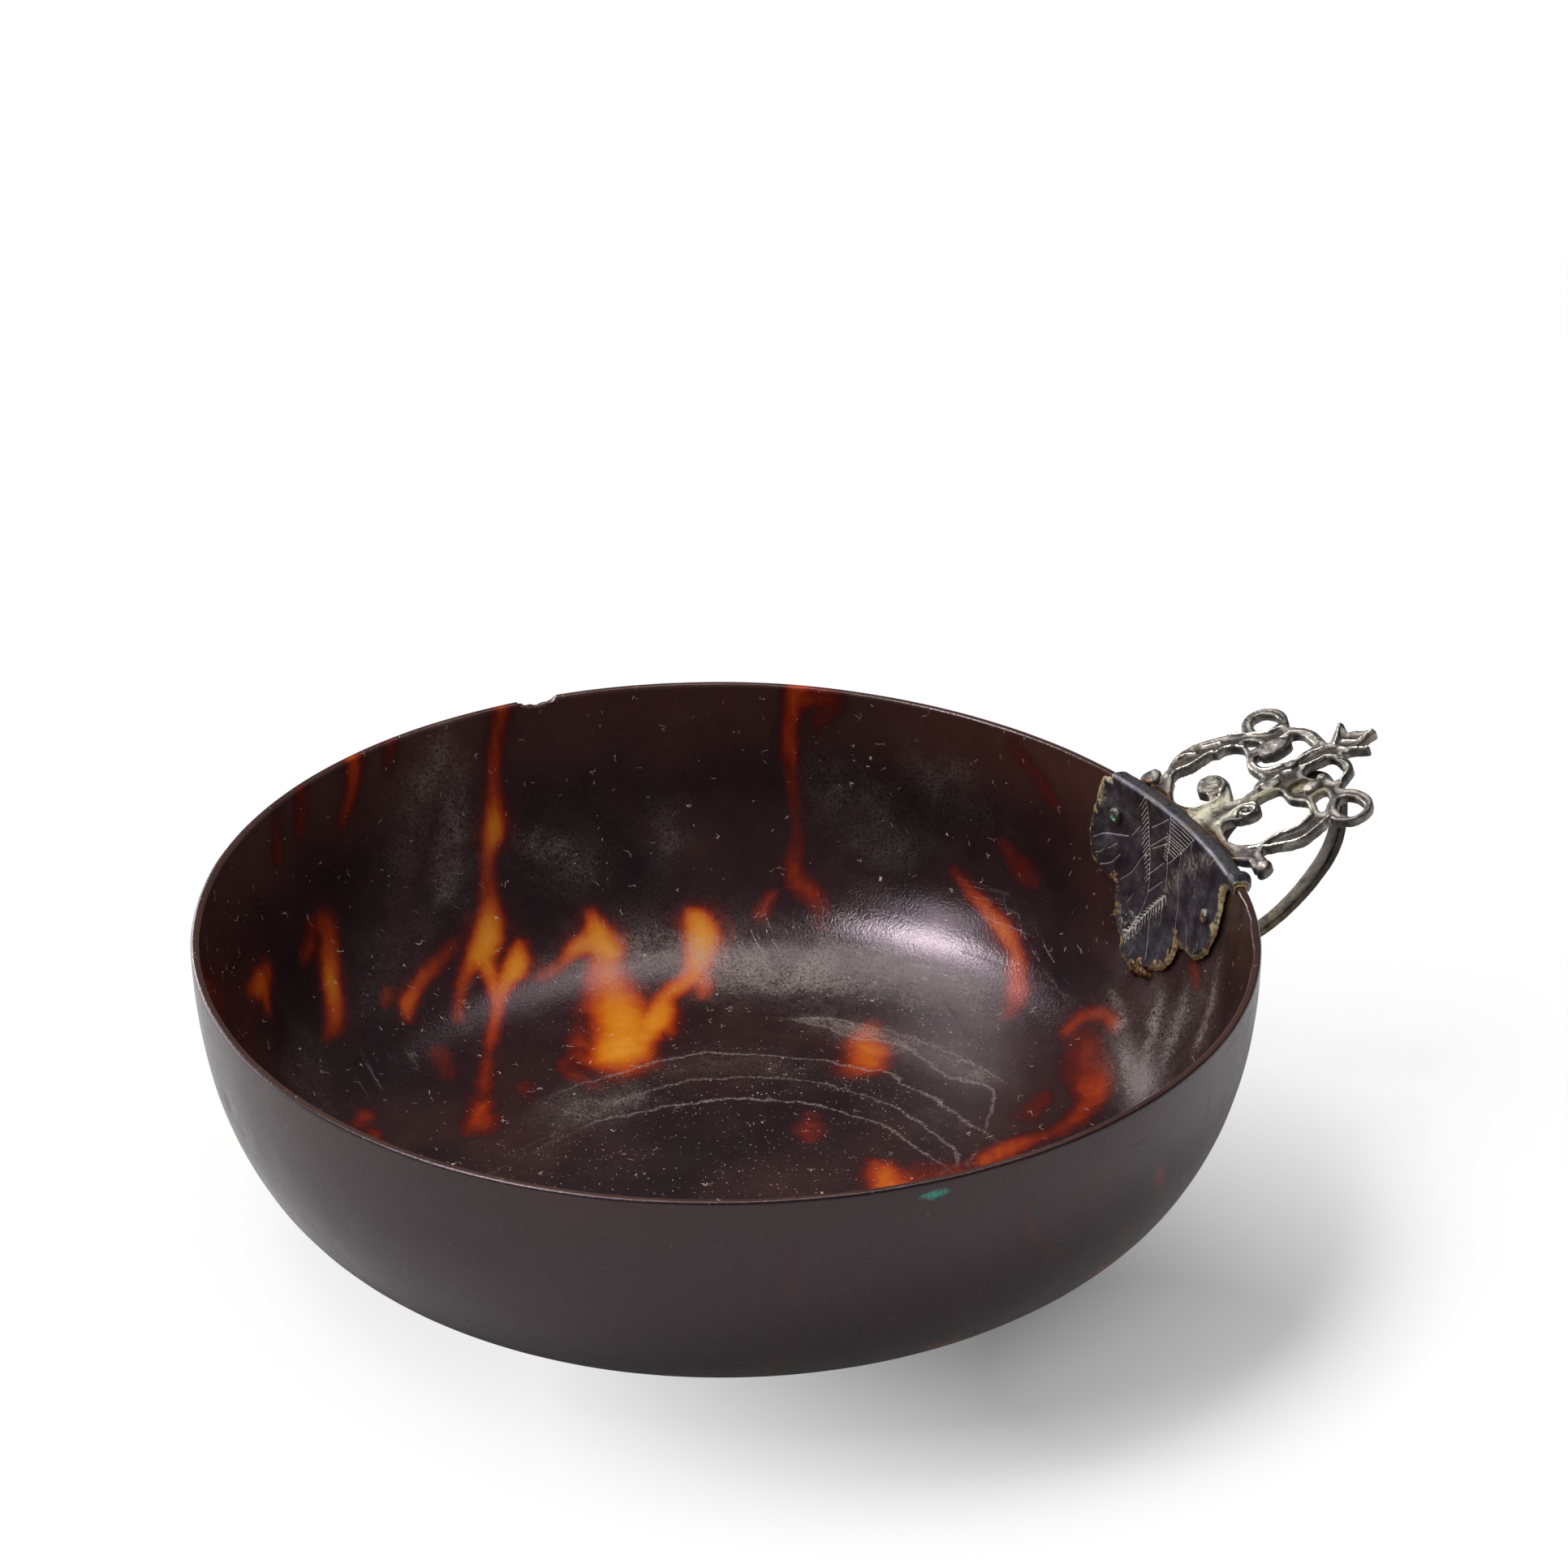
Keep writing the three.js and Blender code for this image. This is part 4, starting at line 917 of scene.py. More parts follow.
def make_clasp():
    """The silver sheet: cut out flat, engraved and hammered, then bent over the lip."""
    path = sheet_path(SHEET)
    line, run = path
    outline = blank_outline(path)
    columns, rows = rows_of(outline, path, 0.1, 0.5)
    sheet, flat = cut_sheet("silver_rim_clasp", columns, rows, [outline])
    level = np.column_stack([flat, np.zeros(len(flat))])
    across, along_sheet = flat.T
    on_plate = along_sheet < run[LIP_START + 2]
    # places that aren't on the plate go out of the marks' reach
    spots = np.stack([across, np.where(on_plate, np.interp(along_sheet, run, line[:, 1]), 40.0)], -1)
    cut, deep = engraving(spots)
    # rolled edge, hammer-soft surface, a swelling over each rivet and the pitted, worn patch
    to_edge, _ = to_edges(flat, [outline])
    lift = -0.1 * (1 - fade(to_edge, 0.0, 0.25)) - deep + 0.035 * grain(level, 2.6, 3, 3.0)
    for sideways, up, high, wide in RIVET_SWELLS:
        lift += high * swell(np.hypot(spots[:, 0] - sideways, spots[:, 1] - up), 0, wide) * on_plate
    patch = swell(spots[:, 0], 6.4, 2.0) * swell(spots[:, 1], 14.8, 1.7) * on_plate
    pits = grain(level * [1.0, 0.7, 1.0], 0.33, 2, 9.0)
    lift += 0.09 * pits * fade(patch, 0.2, 0.7)
    # the sheet has sprung up off the lip at the fold's right end
    sprung = fade(along_sheet, run[LIP_START], run[LIP_START + 6])
    sprung *= 1 - fade(along_sheet, run[LIP_END + 1], run[LIP_END + 6])
    lift += 0.55 * swell(across, FOLD_RIGHT + 0.8, 0.7) * sprung
    place(sheet, bend_over(flat, path, lift))
    # cement smeared over the plate is drawn out in slanting streaks
    smear, _ = nearest(spots, along(SMEAR, 0.4))
    slant = np.array([[0.7, 0.7, 0], [-0.7, 0.7, 0], [0, 0, 1]])
    streaks = fade(grain(level @ slant * [4.5, 0.9, 1], 1.0, 3, 12.0), -0.1, 0.35)
    stain = 0.9 * (1 - fade(smear, 0.1, 1.5)) * (0.2 + 0.8 * streaks)
    mottled = fade(grain(level, 1.2, 3, 5.0), -0.05, 0.4)
    edge_dirt = 0.8 * (1 - fade(to_edge, 0.05, 0.45)) * mottled
    left_dirt = 0.9 * swell(spots[:, 0], 14.6, 0.7) * swell(spots[:, 1], 27, 2.2) * mottled
    mark(sheet, "cut", cut)
    mark(sheet, "stain", np.maximum.reduce([stain, edge_dirt, left_dirt]) * on_plate)
    sheet_edge = 1 - fade(to_edge, 0.04, 0.14)
    worn = fade(patch, 0.2, 0.7) * fade(pits, 0.08, 0.4)
    mark(sheet, "wear", np.maximum(worn, 0.75 * sheet_edge))
    # the bend over the lip: the material paints it darker than the plate, a painted shade, and makes it
    # rougher
    fold = fade(along_sheet, run[LIP_START + 3], run[LIP_START + 7])
    mark(sheet, "fold", fold * (1 - fade(along_sheet, run[LIP_END + 3], run[LIP_END + 10])))
    modify(sheet, "SOLIDIFY", thickness=SHEET_THICKNESS * MM, offset=-1.0)
    smooth(sheet, 50)
    return sheet


def make_cement():
    """Cement squeezed out past the plate's edge, crumbly and uneven."""
    path = sheet_path(0.02)
    outline = blank_outline(path, 0.22, 0.3, 2.0)
    line, run = path
    up = np.interp(outline[:, 1], run, line[:, 1])
    on_plate = outline[:, 1] < run[LIP_START]
    # thickest down the plate's right edge and in the right cleft
    outline[:, 0] -= 0.26 * swell(outline[:, 0], -10.6, 1.4) * swell(up, 28.4, 1.8) * on_plate
    outline[:, 1] -= 0.4 * swell(outline[:, 0], -2.2, 1.1) * on_plate
    # it stops a little way down the outside
    outline[:, 1] = np.minimum(outline[:, 1], run[LIP_START + 8] + 1.6)
    columns, rows = rows_of(outline, path, 0.15, 0.4)
    sheet, flat = cut_sheet("bedding_cement_bead", columns, rows, [outline])
    to_edge, _ = to_edges(flat, [outline])
    spots = np.column_stack([flat, np.zeros(len(flat))])
    lumps = 0.12 * grain(spots, 0.35, 3, 6.0) + 0.1 * grain(spots, 1.6, 2, 8.0)
    lift = (lumps + 0.11) * fade(to_edge, 0.0, 0.2) - 0.16 * (1 - fade(to_edge, 0.0, 0.25))
    # under the sheet it keeps below the sheet's back
    lift = np.where(to_edge > 0.85, np.minimum(lift, 0.02), lift)
    place(sheet, bend_over(flat, path, lift))
    # cream toward the fold's right end and the left lobe, brown elsewhere
    mark(sheet, "pale", np.maximum(swell(flat[:, 0], -11, 2.5), swell(flat[:, 0], 14.6, 1.6)))
    modify(sheet, "SOLIDIFY", thickness=0.3 * MM, offset=-1.0)
    smooth(sheet, 60)
    return sheet


def tarnished_silver():
    """Sheet silver gone blue-black with tarnish: dark satin metal, pale and matt in the
    engraver's cuts, rubbed bright on its edge, with cream cement dried in streaks."""
    material, node = new_material("silver_sheet_tarnished")
    where = node("TexCoord", out="Object")
    cut, wear, stain, fold = (
        node("Attribute", out="Fac", attribute_name=name) for name in ("cut", "wear", "stain", "fold")
    )
    # tarnish in clouds of 2.4 mm and specks of 0.3 mm, warmer patches of 5.5 mm, cement crumbs of 0.5 mm
    cloudy, fine, warm, crumb = (
        node("TexNoise", {"Vector": where, "Scale": 1 / (size * MM), "Detail": detail, "Roughness": rough})
        for size, detail, rough in ((2.4, 5, 0.65), (0.3, 4, 0.7), (5.5, 3, 0.5), (0.5, 5, 0.75))
    )
    dark = node("ValToRGB", {"Fac": cloudy}, stops=[(0.32, "#46444d"), (0.55, "#66646d"), (0.72, "#8c8990")])
    # painted shade: the darker colour of the bend over the lip, which would otherwise catch the lamps
    top = node("ValToRGB", {"Fac": fine}, stops=[(0.35, "#2a292d"), (0.6, "#5c5a5e")])
    warm = node("MapRange", {"Value": warm, "From Min": 0.52, "From Max": 0.75, "To Max": 0.5})
    # the burin's cuts hold pale dust, broken up so that a long cut reads as a row of nicks
    nick = node("MapRange", {"Value": fine, "From Min": 0.36, "From Max": 0.56, "To Min": 0.5})
    pale = node("MapRange", {"Value": cut, "From Min": 0.35, "From Max": 0.8})
    pale = node("Math", {0: pale, 1: nick}, operation="MULTIPLY")
    rubbed = node("Math", {0: wear, 1: nick}, operation="MULTIPLY")
    crumb = node("MapRange", {"Value": crumb, "From Min": 0.42, "From Max": 0.6})
    crumb = node("Math", {0: crumb, 1: stain}, operation="MULTIPLY", use_clamp=True)
    surface = dark
    # the first layer paints the bend over the lip darker: painted shade
    for amount, paint in ((fold, top), (warm, "#5c5245"), (rubbed, "#d3cdc2"), (pale, "#efe8db"),
                          (crumb, "#a89872")):
        surface = node("Mix", {0: amount, 6: surface, 7: paint}, out=2, data_type="RGBA")
    matt = node("Math", {0: pale, 1: crumb}, operation="MAXIMUM")
    rough = 0.2
    for part, amount in ((cloudy, 0.3), (fold, 0.25)):
        rough = node("Math", {0: part, 1: amount, 2: rough}, operation="MULTIPLY_ADD")
    rough = node("Math", {0: matt, 1: 0.4, 2: rough}, operation="MULTIPLY_ADD", use_clamp=True)
    metallic = node("Math", {0: matt, 1: -0.85, 2: 0.9}, operation="MULTIPLY_ADD", use_clamp=True)
    height = node("Math", {0: fine, 1: crumb}, operation="ADD")
    bump = node("Bump", {"Strength": 0.6, "Distance": 0.0001, "Height": height})
    shader = node("BsdfPrincipled", {"Base Color": surface, "Roughness": rough, "Metallic": metallic,
                                     "Normal": bump})
    node("OutputMaterial", {"Surface": shader})
    return material


def dried_cement():
    """Old lime and resin cement, pressed out and gone crumbly: dull cream to brown."""
    material, node = new_material("cement_dried")
    where = node("TexCoord", out="Object")
    pale = node("Attribute", out="Fac", attribute_name="pale")
    # patches of 1.1 mm, browner ones of 2.2 mm and crumbs of 0.25 mm
    patchy, warm, crumbs = (
        node("TexNoise", {"Vector": where, "Scale": 1 / (size * MM), "Detail": detail, "Roughness": rough})
        for size, detail, rough in ((1.1, 5, 0.7), (2.2, 3, 0.6), (0.25, 4, 0.7))
    )
    level = node("Math", {0: pale, 1: 0.16, 2: patchy}, operation="MULTIPLY_ADD")
    body = node("ValToRGB", {"Fac": level}, stops=[
        (0.36, "#4a3826"), (0.48, "#7c5f38"), (0.58, "#a8875a"), (0.7, "#c8b68c")])
    warm = node("MapRange", {"Value": warm, "From Min": 0.55, "From Max": 0.72, "To Max": 0.7})
    body = node("Mix", {0: warm, 6: body, 7: "#96602f"}, out=2, data_type="RGBA")
    bump = node("Bump", {"Strength": 0.6, "Distance": 0.0001, "Height": crumbs})
    shader = node("BsdfPrincipled", {"Base Color": body, "Roughness": 0.85, "Normal": bump})
    node("OutputMaterial", {"Surface": shader})
    return material


def fuse(pieces, name, voxel, rounds):
    """Pieces joined into one skin, smoothed for a few rounds."""
    deselect()
    for piece in pieces:
        piece.select_set(True)
    bpy.context.view_layer.objects.active = pieces[0]
    bpy.ops.object.join()
    whole = bpy.context.object
    whole.name = name
    modify(whole, "REMESH", mode="VOXEL", voxel_size=voxel * MM)
    modify(whole, "SMOOTH", factor=0.5, iterations=rounds)
    return whole


def creases(piece, rounds=2):
    """How far each place stands out (positive) or lies in a hollow (negative)."""
    points = corners(piece)
    normals = facing(piece)
    ends = np.empty(len(piece.data.edges) * 2, int)
    piece.data.edges.foreach_get("vertices", ends)
    a, b = ends.reshape(-1, 2).T
    count = np.bincount(a, minlength=len(points)) + np.bincount(b, minlength=len(points))
    mean = np.zeros_like(points)
    np.add.at(mean, a, points[b])
    np.add.at(mean, b, points[a])
    out = ((points - mean / np.maximum(count, 1)[:, None]) * normals).sum(1)
    for _ in range(rounds):
        total = np.zeros(len(points))
        np.add.at(total, a, out[b])
        np.add.at(total, b, out[a])
        out = 0.5 * out + 0.5 * total / np.maximum(count, 1)
    return out


# Thumbpiece, drawn flat in mm: (out from the rim, across)

CASTING_EDGE = [
    (.1, 10.6), (.25, 10.75), (.75, 10.87), (1.33, 11.5), (2, 12), (3, 12.37), (4, 12.52), (5, 12.52),
    (6, 12.33), (7, 11.96), (8, 11.54), (9, 11), (9.58, 10.62), (9.83, 10.6), (10, 10.9), (10.36, 11.73),
    (10.8, 12.27), (11.45, 12.73), (12.27, 12.93), (13, 12.82), (13.73, 12.4), (14.27, 11.86),
    (14.64, 11.27), (14.77, 10.55), (14.73, 9.8), (14.55, 9.1), (14.27, 8.36), (13.86, 7.5), (14.27, 7.1),
    (14.64, 6.55), (15, 6.1), (15.27, 5.55), (15.5, 4.9), (15.57, 4), (15.55, 3.1), (15.5, 2.2),
    (15.55, 1.8), (15.73, 1.6), (16.1, 1.9), (16.55, 2.36), (17, 2.8), (17.45, 3.3), (17.9, 3.77),
    (18.18, 3.86), (18.4, 3.6), (18.36, 3.3), (18.2, 2.7), (18.05, 2.1), (18.14, 1.7), (18.55, 1.45),
    (18.9, 1.27), (19.27, .8), (19.73, .45), (20.1, .27), (20.3, -.1), (20.2, -.45), (19.5, -.5),
    (18.7, -.75), (18, -.95), (17.3, -.95), (17.45, -1.5), (18.1, -2.05), (18.45, -2.35), (18.1, -2.5),
    (17.5, -1.95), (16.9, -1.5), (16.4, -1.2), (15.9, -1.15), (15.75, -2.3), (15.7, -3), (15.5, -3.8),
    (15.2, -4.4), (14.6, -4.8), (14.1, -5.15), (13.6, -5.45), (13.2, -5.8), (12.8, -6.3), (13.1, -6.95),
    (13.6, -7.5), (14, -8.2), (14.2, -9), (14.25, -9.7), (14.15, -10.5), (13.8, -11.2), (13.3, -11.8),
    (12.8, -12.1), (12.3, -12.2), (11.7, -12.25), (11, -12.1), (10.5, -11.8), (10, -11.3), (9.6, -10.8),
    (9.4, -10.2), (9, -10.15), (8.6, -10.4), (8, -10.6), (7, -10.9), (6.2, -11.15), (5.6, -11.2),
    (5, -11.15), (4.2, -10.8), (3.6, -10.5), (3, -10.1), (2.4, -9.8), (1.8, -9.4), (1.3, -9.7),
    (1.1, -10.4), (1.1, -11.1),
]
CASTING_FOOT = [
    (-.35, -11.4), (-.5, -11.2), (-.4, -10.6), (-.3, -9.8), (-.7, -9), (-1.2, -8), (-1.7, -7.4),
]
OPENINGS = [
    [(.4, 9.17), (.83, 9.46), (1.33, 9.7), (2.17, 9.5), (3, 9.4), (3.8, 9.5), (4.67, 9.67), (5.5, 9.75),
     (6, 9.33), (6.83, 9.4), (7.6, 9), (8, 8.63), (8.4, 7.83), (8.38, 7.2), (8.1, 6.3), (7.67, 5.4),
     (7.4, 4.83), (7.33, 4), (7.4, 3.17), (7.5, 2.33), (7.54, 1.7), (6.9, 1.4), (6.33, 1.1), (6, .75),
     (5.75, .4), (5.25, .3), (4.67, .2), (4.17, .1), (3.83, .2), (3.17, .5), (3.4, 1), (3.83, 1.9),
     (4.1, 2.75), (4.4, 3.6), (4.45, 4.4), (4.3, 5.17), (3.96, 5.83), (3.5, 6.2), (3.1, 6.33), (2.6, 6.25),
     (2.1, 6), (1.75, 5.6), (1.4, 5), (1.25, 4.4), (1.5, 3.9), (1.75, 3.4), (1.7, 2.9), (1.5, 2.35),
     (1, 2.33), (.33, 2.6), (-.25, 3.1), (-.6, 3.75), (-1, 4.75), (-1.17, 5.67), (-1.1, 6.4), (-.8, 7.3),
     (-.22, 8.3), (.28, 8.8)],
    [(8.95, 7), (8.95, 8.2), (9.3, 8.9), (9.9, 8.4), (10.3, 7.6), (10.2, 7.05)],
    [(8.25, 4.3), (8.3, 3.55), (8.7, 3), (9.3, 2.6), (9.9, 2.35), (10.6, 2.18), (11.1, 1.86),
     (11.55, 1.77), (12.2, 2), (12.8, 2.27), (13.55, 2.3), (14.2, 2.45), (14.44, 3.1), (14.4, 3.9),
     (14.35, 4.9), (14.1, 5.6), (13.5, 6.1), (12.95, 5.9), (12.8, 5.3), (12.75, 4.9), (12.5, 4.6),
     (12, 4.4), (11, 4.3), (10.3, 4.35), (9.7, 4.7), (9.3, 5), (9.2, 5.5), (8.95, 5.6), (8.6, 5.5),
     (8.3, 5)],
    [(11.05, 9.55), (11, 10.3), (11.2, 11.1), (11.6, 11.7), (12.3, 12.05), (13, 11.85), (13.5, 11.3),
     (13.8, 10.5), (13.86, 9.6), (13.8, 9.2), (13.2, 8.9), (12.6, 8.73), (12.1, 8.64), (11.55, 9)],
    [(-.3, -5), (-.15, -5.9), (0, -6.5), (.4, -7.2), (.9, -7.7), (1.3, -8.05), (1.9, -8.35), (2.5, -8.3),
     (3, -8.2), (3.6, -8.1), (4.3, -8.2), (5.3, -8.5), (6, -8.6), (6.6, -8.55), (7.2, -8.3), (7.9, -8),
     (8.3, -7.7), (8.7, -6.8), (8.95, -5.8), (8.6, -5.1), (8, -4.3), (7.8, -3.6), (7.85, -2.8), (7.9, -2),
     (7.6, -1.4), (6.5, -1.2), (5.2, -1.3), (5, -2), (4.9, -2.6), (4.6, -3.2), (4.2, -3.45), (3.6, -3.55),
     (3, -3.4), (2.5, -3.1), (2.1, -2.9), (1.6, -2.4), (.9, -2.3), (.3, -2.5), (0, -3.2), (-.25, -4.2)],
    [(9.75, -5.6), (10.3, -5.3), (11, -5.2), (11.3, -5.4), (11.35, -6.1), (11, -7.1), (10.2, -7.9),
     (9.6, -8.65), (9.3, -8.6), (9.1, -8.3), (9.2, -7.5), (9.5, -6.5)],
    [(11.3, -.6), (11.1, -1.2), (11.05, -1.9), (11.4, -2.6), (11.6, -2.85), (11.9, -2.65), (12.2, -2.6),
     (12.55, -2.75), (12.7, -3.2), (12.65, -3.8), (12.65, -4.3), (12.9, -4.7), (13.3, -4.9), (13.7, -4.75),
     (14.1, -4.4), (14.5, -3.8), (14.75, -3), (14.8, -2), (14.75, -1.3), (14.5, -.8), (14, -.5),
     (13.3, -.45), (12.5, -.4), (12, -.3)],
    [(11.9, -7.75), (12.5, -8), (13, -8.7), (13.2, -9.6), (13.2, -10.8), (12.9, -11.3), (12.5, -11.6),
     (12, -11.8), (11.5, -11.8), (11.1, -11.6), (10.9, -11.3), (10.65, -10.5), (10.6, -9.6), (10.9, -8.7),
     (11.4, -8)],
]
# Raised lines chased along the arms, stem and leaf
RIDGES = [
    [(.4, 9.3), (1.33, 9.85), (3, 9.6), (4.7, 9.85), (5.6, 9.9), (6, 9.5), (7, 9.5), (8, 8.85), (8.6, 8)],
    [(8.5, 11.1), (9.5, 10.3), (10.3, 9.7), (11.1, 8.9), (12, 8.3), (13.5, 8.2)],
    [(2.5, 11.7), (3.6, 11.75), (4.3, 11.2)], [(5.5, 11.6), (7.2, 10.9)],
    [(.6, -8.2), (1.8, -8.8), (3, -8.6), (4.3, -8.6), (5.3, -8.9), (6.6, -8.9), (8.2, -8.2)],
    [(1.8, -9.2), (3, -9.9), (4.3, -10.6), (5.6, -11), (7, -10.7), (8.6, -10.2), (9.5, -9.8)],
    [(7.9, 4.6), (7.9, 3.4), (8.3, 2.7), (9, 2.2), (10, 1.9)], [(6.4, .4), (7, .65), (8, .6), (9, .75)],
    [(9.8, .9), (10.4, .6)],
    [(5.2, -.6), (6.2, -.7), (7.4, -.8)], [(11.5, .4), (12, -.1), (13, -.2), (14.4, -.2), (15.2, -1.2)],
    [(11.6, 1.4), (12.6, 1.6), (13.6, 1.7), (14.8, 1.6)],
    [(17, 1), (18, -.1), (18.8, -.2), (20, 0)], [(16.2, .1), (16.8, -.9), (17.45, -1.64), (18.3, -2.3)],
    [(16, 1), (16.9, 2), (18.1, 3.6)],
    [(14.9, 2.6), (15, 4), (14.8, 5.2), (14.1, 6.2), (13.2, 6.6), (12, 6.6)], [(-.9, 3.2), (.4, 2.2),
     (1.6, 1.9), (2.6, 2.4), (3.2, 3)],
    [(.2, -1.9), (1.6, -1.6), (2.6, -1), (4, -1), (4.7, -1.9), (4.4, -2.8)], [(15.1, -2.2), (15.2, -3.4),
     (14.6, -4.4), (13.4, -5.2)],
]
# Domed ends: (out, across, half length, half width, rise)
KNOBS = [
    (-1.15, 11.4, 1.15, 1.15, .5), (2.75, 4.45, 1.72, 1.85, .42), (11, 5.6, 1.7, 1.25, .32),
    (.3, -12, .85, .85, .35), (3.4, -2.4, .8, .75, .3), (10.6, -3.9, 1.1, .9, .4),
    (12.2, -3.2, .5, .6, .25), (10.9, 1.3, .7, .55, .25), (7.6, -.1, 1.1, .7, .16),
]
# Where crust is left in the roots: (out, across, half length, half width, strength)
CREAM_CRUST = [
    (.9, 1.5, 2.2, .9, 1), (-.6, 1.4, 1.2, 1.1, .9), (1.7, -1.4, 1.2, .5, .9), (.5, -1.5, .7, .5, .7),
    (3.0, .7, .9, .5, .6),
]
GREEN_CRUST = [
    (6.6, -1.1, 1.2, .5, .8), (10.6, -5.6, .9, .7, .9), (10.3, 3.3, .9, .6, .7), (11.5, 3.3, .7, .6, .7),
    (12.5, 11.4, .8, .5, .5), (9.7, -2.4, 1, .8, .9), (9.2, -7.2, .6, .9, .6), (.3, -3.4, .5, 1, .6),
    (5.2, -.9, .8, .5, .7),
]
CAST_THICKNESS = 1.1
EDGE_ROUND = 0.2
# The root follows the fold at this radius
ROOT_RADIUS = 53.7
# Middles of the right scroll's spiral and of the left boss, and the recess inside the right ring, painted
# dark as shade
SPIRAL = (3.4, -2.4)
BOSS = (2.75, 4.45)
RECESS = (9.75, -2.5)


def casting_outline():
    """The casting's edge: two round knobs at the ends of the arms, and a root that follows the fold."""
    half_left = np.radians(np.arange(240, -31, -30))
    left = [(-1.15 + 1.2 * math.cos(a), 11.4 + 1.2 * math.sin(a)) for a in half_left]
    half_right = np.radians(np.arange(40, -215, -30))
    right = [(.3 + .85 * math.cos(a), -12 + .85 * math.sin(a)) for a in half_right]
    root = [(math.sqrt(ROOT_RADIUS**2 - v**2) - THUMB_ROOT[0] - 0.35, v) for v in np.arange(-7.2, 10.3, 0.6)]
    return along(left + CASTING_EDGE + right + CASTING_FOOT + root, 0.2, True)


def heaps(flat, patches):
    """Soft round patches, the strongest kept at each place."""
    out, across = flat.T
    parts = [level * swell(out, u, long) * swell(across, v, wide) for u, v, long, wide, level in patches]
    return np.maximum.reduce(parts)


def relief(flat, to_edge, top):
    """How high the casting's face stands at each place, where its bright ridges are, and the recess, painted
    dark as shade.
    """
    out, across = flat.T
    high = -0.2 * fade(to_edge, 0.3, 0.9)
    ridge = 0.8 * swell(to_edge, 0.1, 0.08)
    for line in RIDGES:
        trail = along(line, 0.25)
        gap = np.full(len(flat), 9.0)
        close = ((flat > trail.min(0) - 0.8) & (flat < trail.max(0) + 0.8)).all(1) & top
        gap[close] = nearest(flat[close], trail)[0]
        high += 0.2 * swell(gap, 0, 0.24)
        ridge = np.maximum(ridge, 0.9 * swell(gap, 0, 0.13))
    for u, v, long, wide, rise in KNOBS:
        part = 1 - ((out - u) / long) ** 2 - ((across - v) / wide) ** 2
        high = np.where(part > 0, np.maximum(high, rise * np.sqrt(np.maximum(part, 0))), high)
        ridge = np.where(part > 0, np.maximum(ridge, 0.42 * fade(part, 0.3, 0.9)), ridge)
    # the spiral opens by 0.06 mm a radian: a raised turn with a groove inside it
    turn = np.hypot(out - SPIRAL[0], across - SPIRAL[1])
    turn -= 0.62 + 0.06 * np.arctan2(across - SPIRAL[1], out - SPIRAL[0])
    high += 0.3 * swell(turn, 0.3, 0.17) - 0.34 * swell(turn, -0.12, 0.16)
    ridge = np.maximum(ridge, swell(turn, 0.3, 0.12) * top)
    high -= 0.1 * swell(np.hypot(out - BOSS[0], across - BOSS[1]), 1.25, 0.13)
    # the recess dips, and its shade is also painted dark through the low mark
    recess = fade(1.2 - np.hypot((out - RECESS[0]) / 1.2, across - RECESS[1]), 0.1, 0.4)
    return high - 0.5 * recess, ridge, recess


def make_thumbpiece():
    """The casting, cut out flat, given its thickness and relief, and tilted up from the fold."""
    edges = [moved_out(casting_outline(), 0.07)]
    edges += [moved_out(along(opening, 0.2, True), -0.08) for opening in OPENINGS]
    spacing = 0.1
    low = edges[0].min(0) - spacing
    high = edges[0].max(0) + spacing
    columns, rows = (np.arange(low[k], high[k], spacing) for k in (0, 1))
    cast, flat = cut_sheet("cast_openwork_thumbpiece", columns, rows, edges)
    place(cast, np.column_stack([flat, np.zeros(len(flat))]))
    to_edge, _ = to_edges(flat, edges)
    modify(cast, "SOLIDIFY", thickness=CAST_THICKNESS * MM, offset=-1.0)
    # Solidify keeps the sheet's own points first and adds the back after them
    points = corners(cast)
    to_edge = np.concatenate([to_edge, to_edge])
    top = points[:, 2] > points[:, 2].mean()
    flat = points[:, :2]
    out, across = flat.T
    high, ridge, recess = relief(flat, to_edge, top)
    drop = EDGE_ROUND - np.sqrt(np.maximum(EDGE_ROUND**2 - np.maximum(EDGE_ROUND - to_edge, 0) ** 2, 0))
    # sand-cast skin, filed a little
    level = np.column_stack([flat, np.where(top, 0, 5.0)])
    skin = 0.04 * grain(level, 1.1, 3, 2.0) + 0.03 * grain(level, 0.35, 2, 5.0)
    # the root dips behind the fold
    dip = 0.5 * (1 - fade(out, -1.0, 0.6))
    w = np.where(top, high + skin - drop, drop - CAST_THICKNESS + skin) - dip
    mark(cast, "ridge", ridge * np.where(top, 1, 0.4) * (1 - recess))
    # low: tarnish in the hollows, and painted shade in the recess inside the right ring
    mark(cast, "low", np.maximum(fade(-high, 0.05, 0.25), recess) * top)
    mark(cast, "cream", heaps(flat, CREAM_CRUST) * top)
    mark(cast, "green", heaps(flat, GREEN_CRUST) * top)
    mark(cast, "brown", (1 - fade(out - np.sqrt(ROOT_RADIUS**2 - across**2) + THUMB_ROOT[0], 0.1, 0.9)) * top)
    cos, sin = math.cos(THUMB_TILT), math.sin(THUMB_TILT)
    place(cast, np.stack([out * cos - w * sin, across, out * sin + w * cos], -1) + THUMB_ROOT)
    smooth(cast, 60)
    return cast


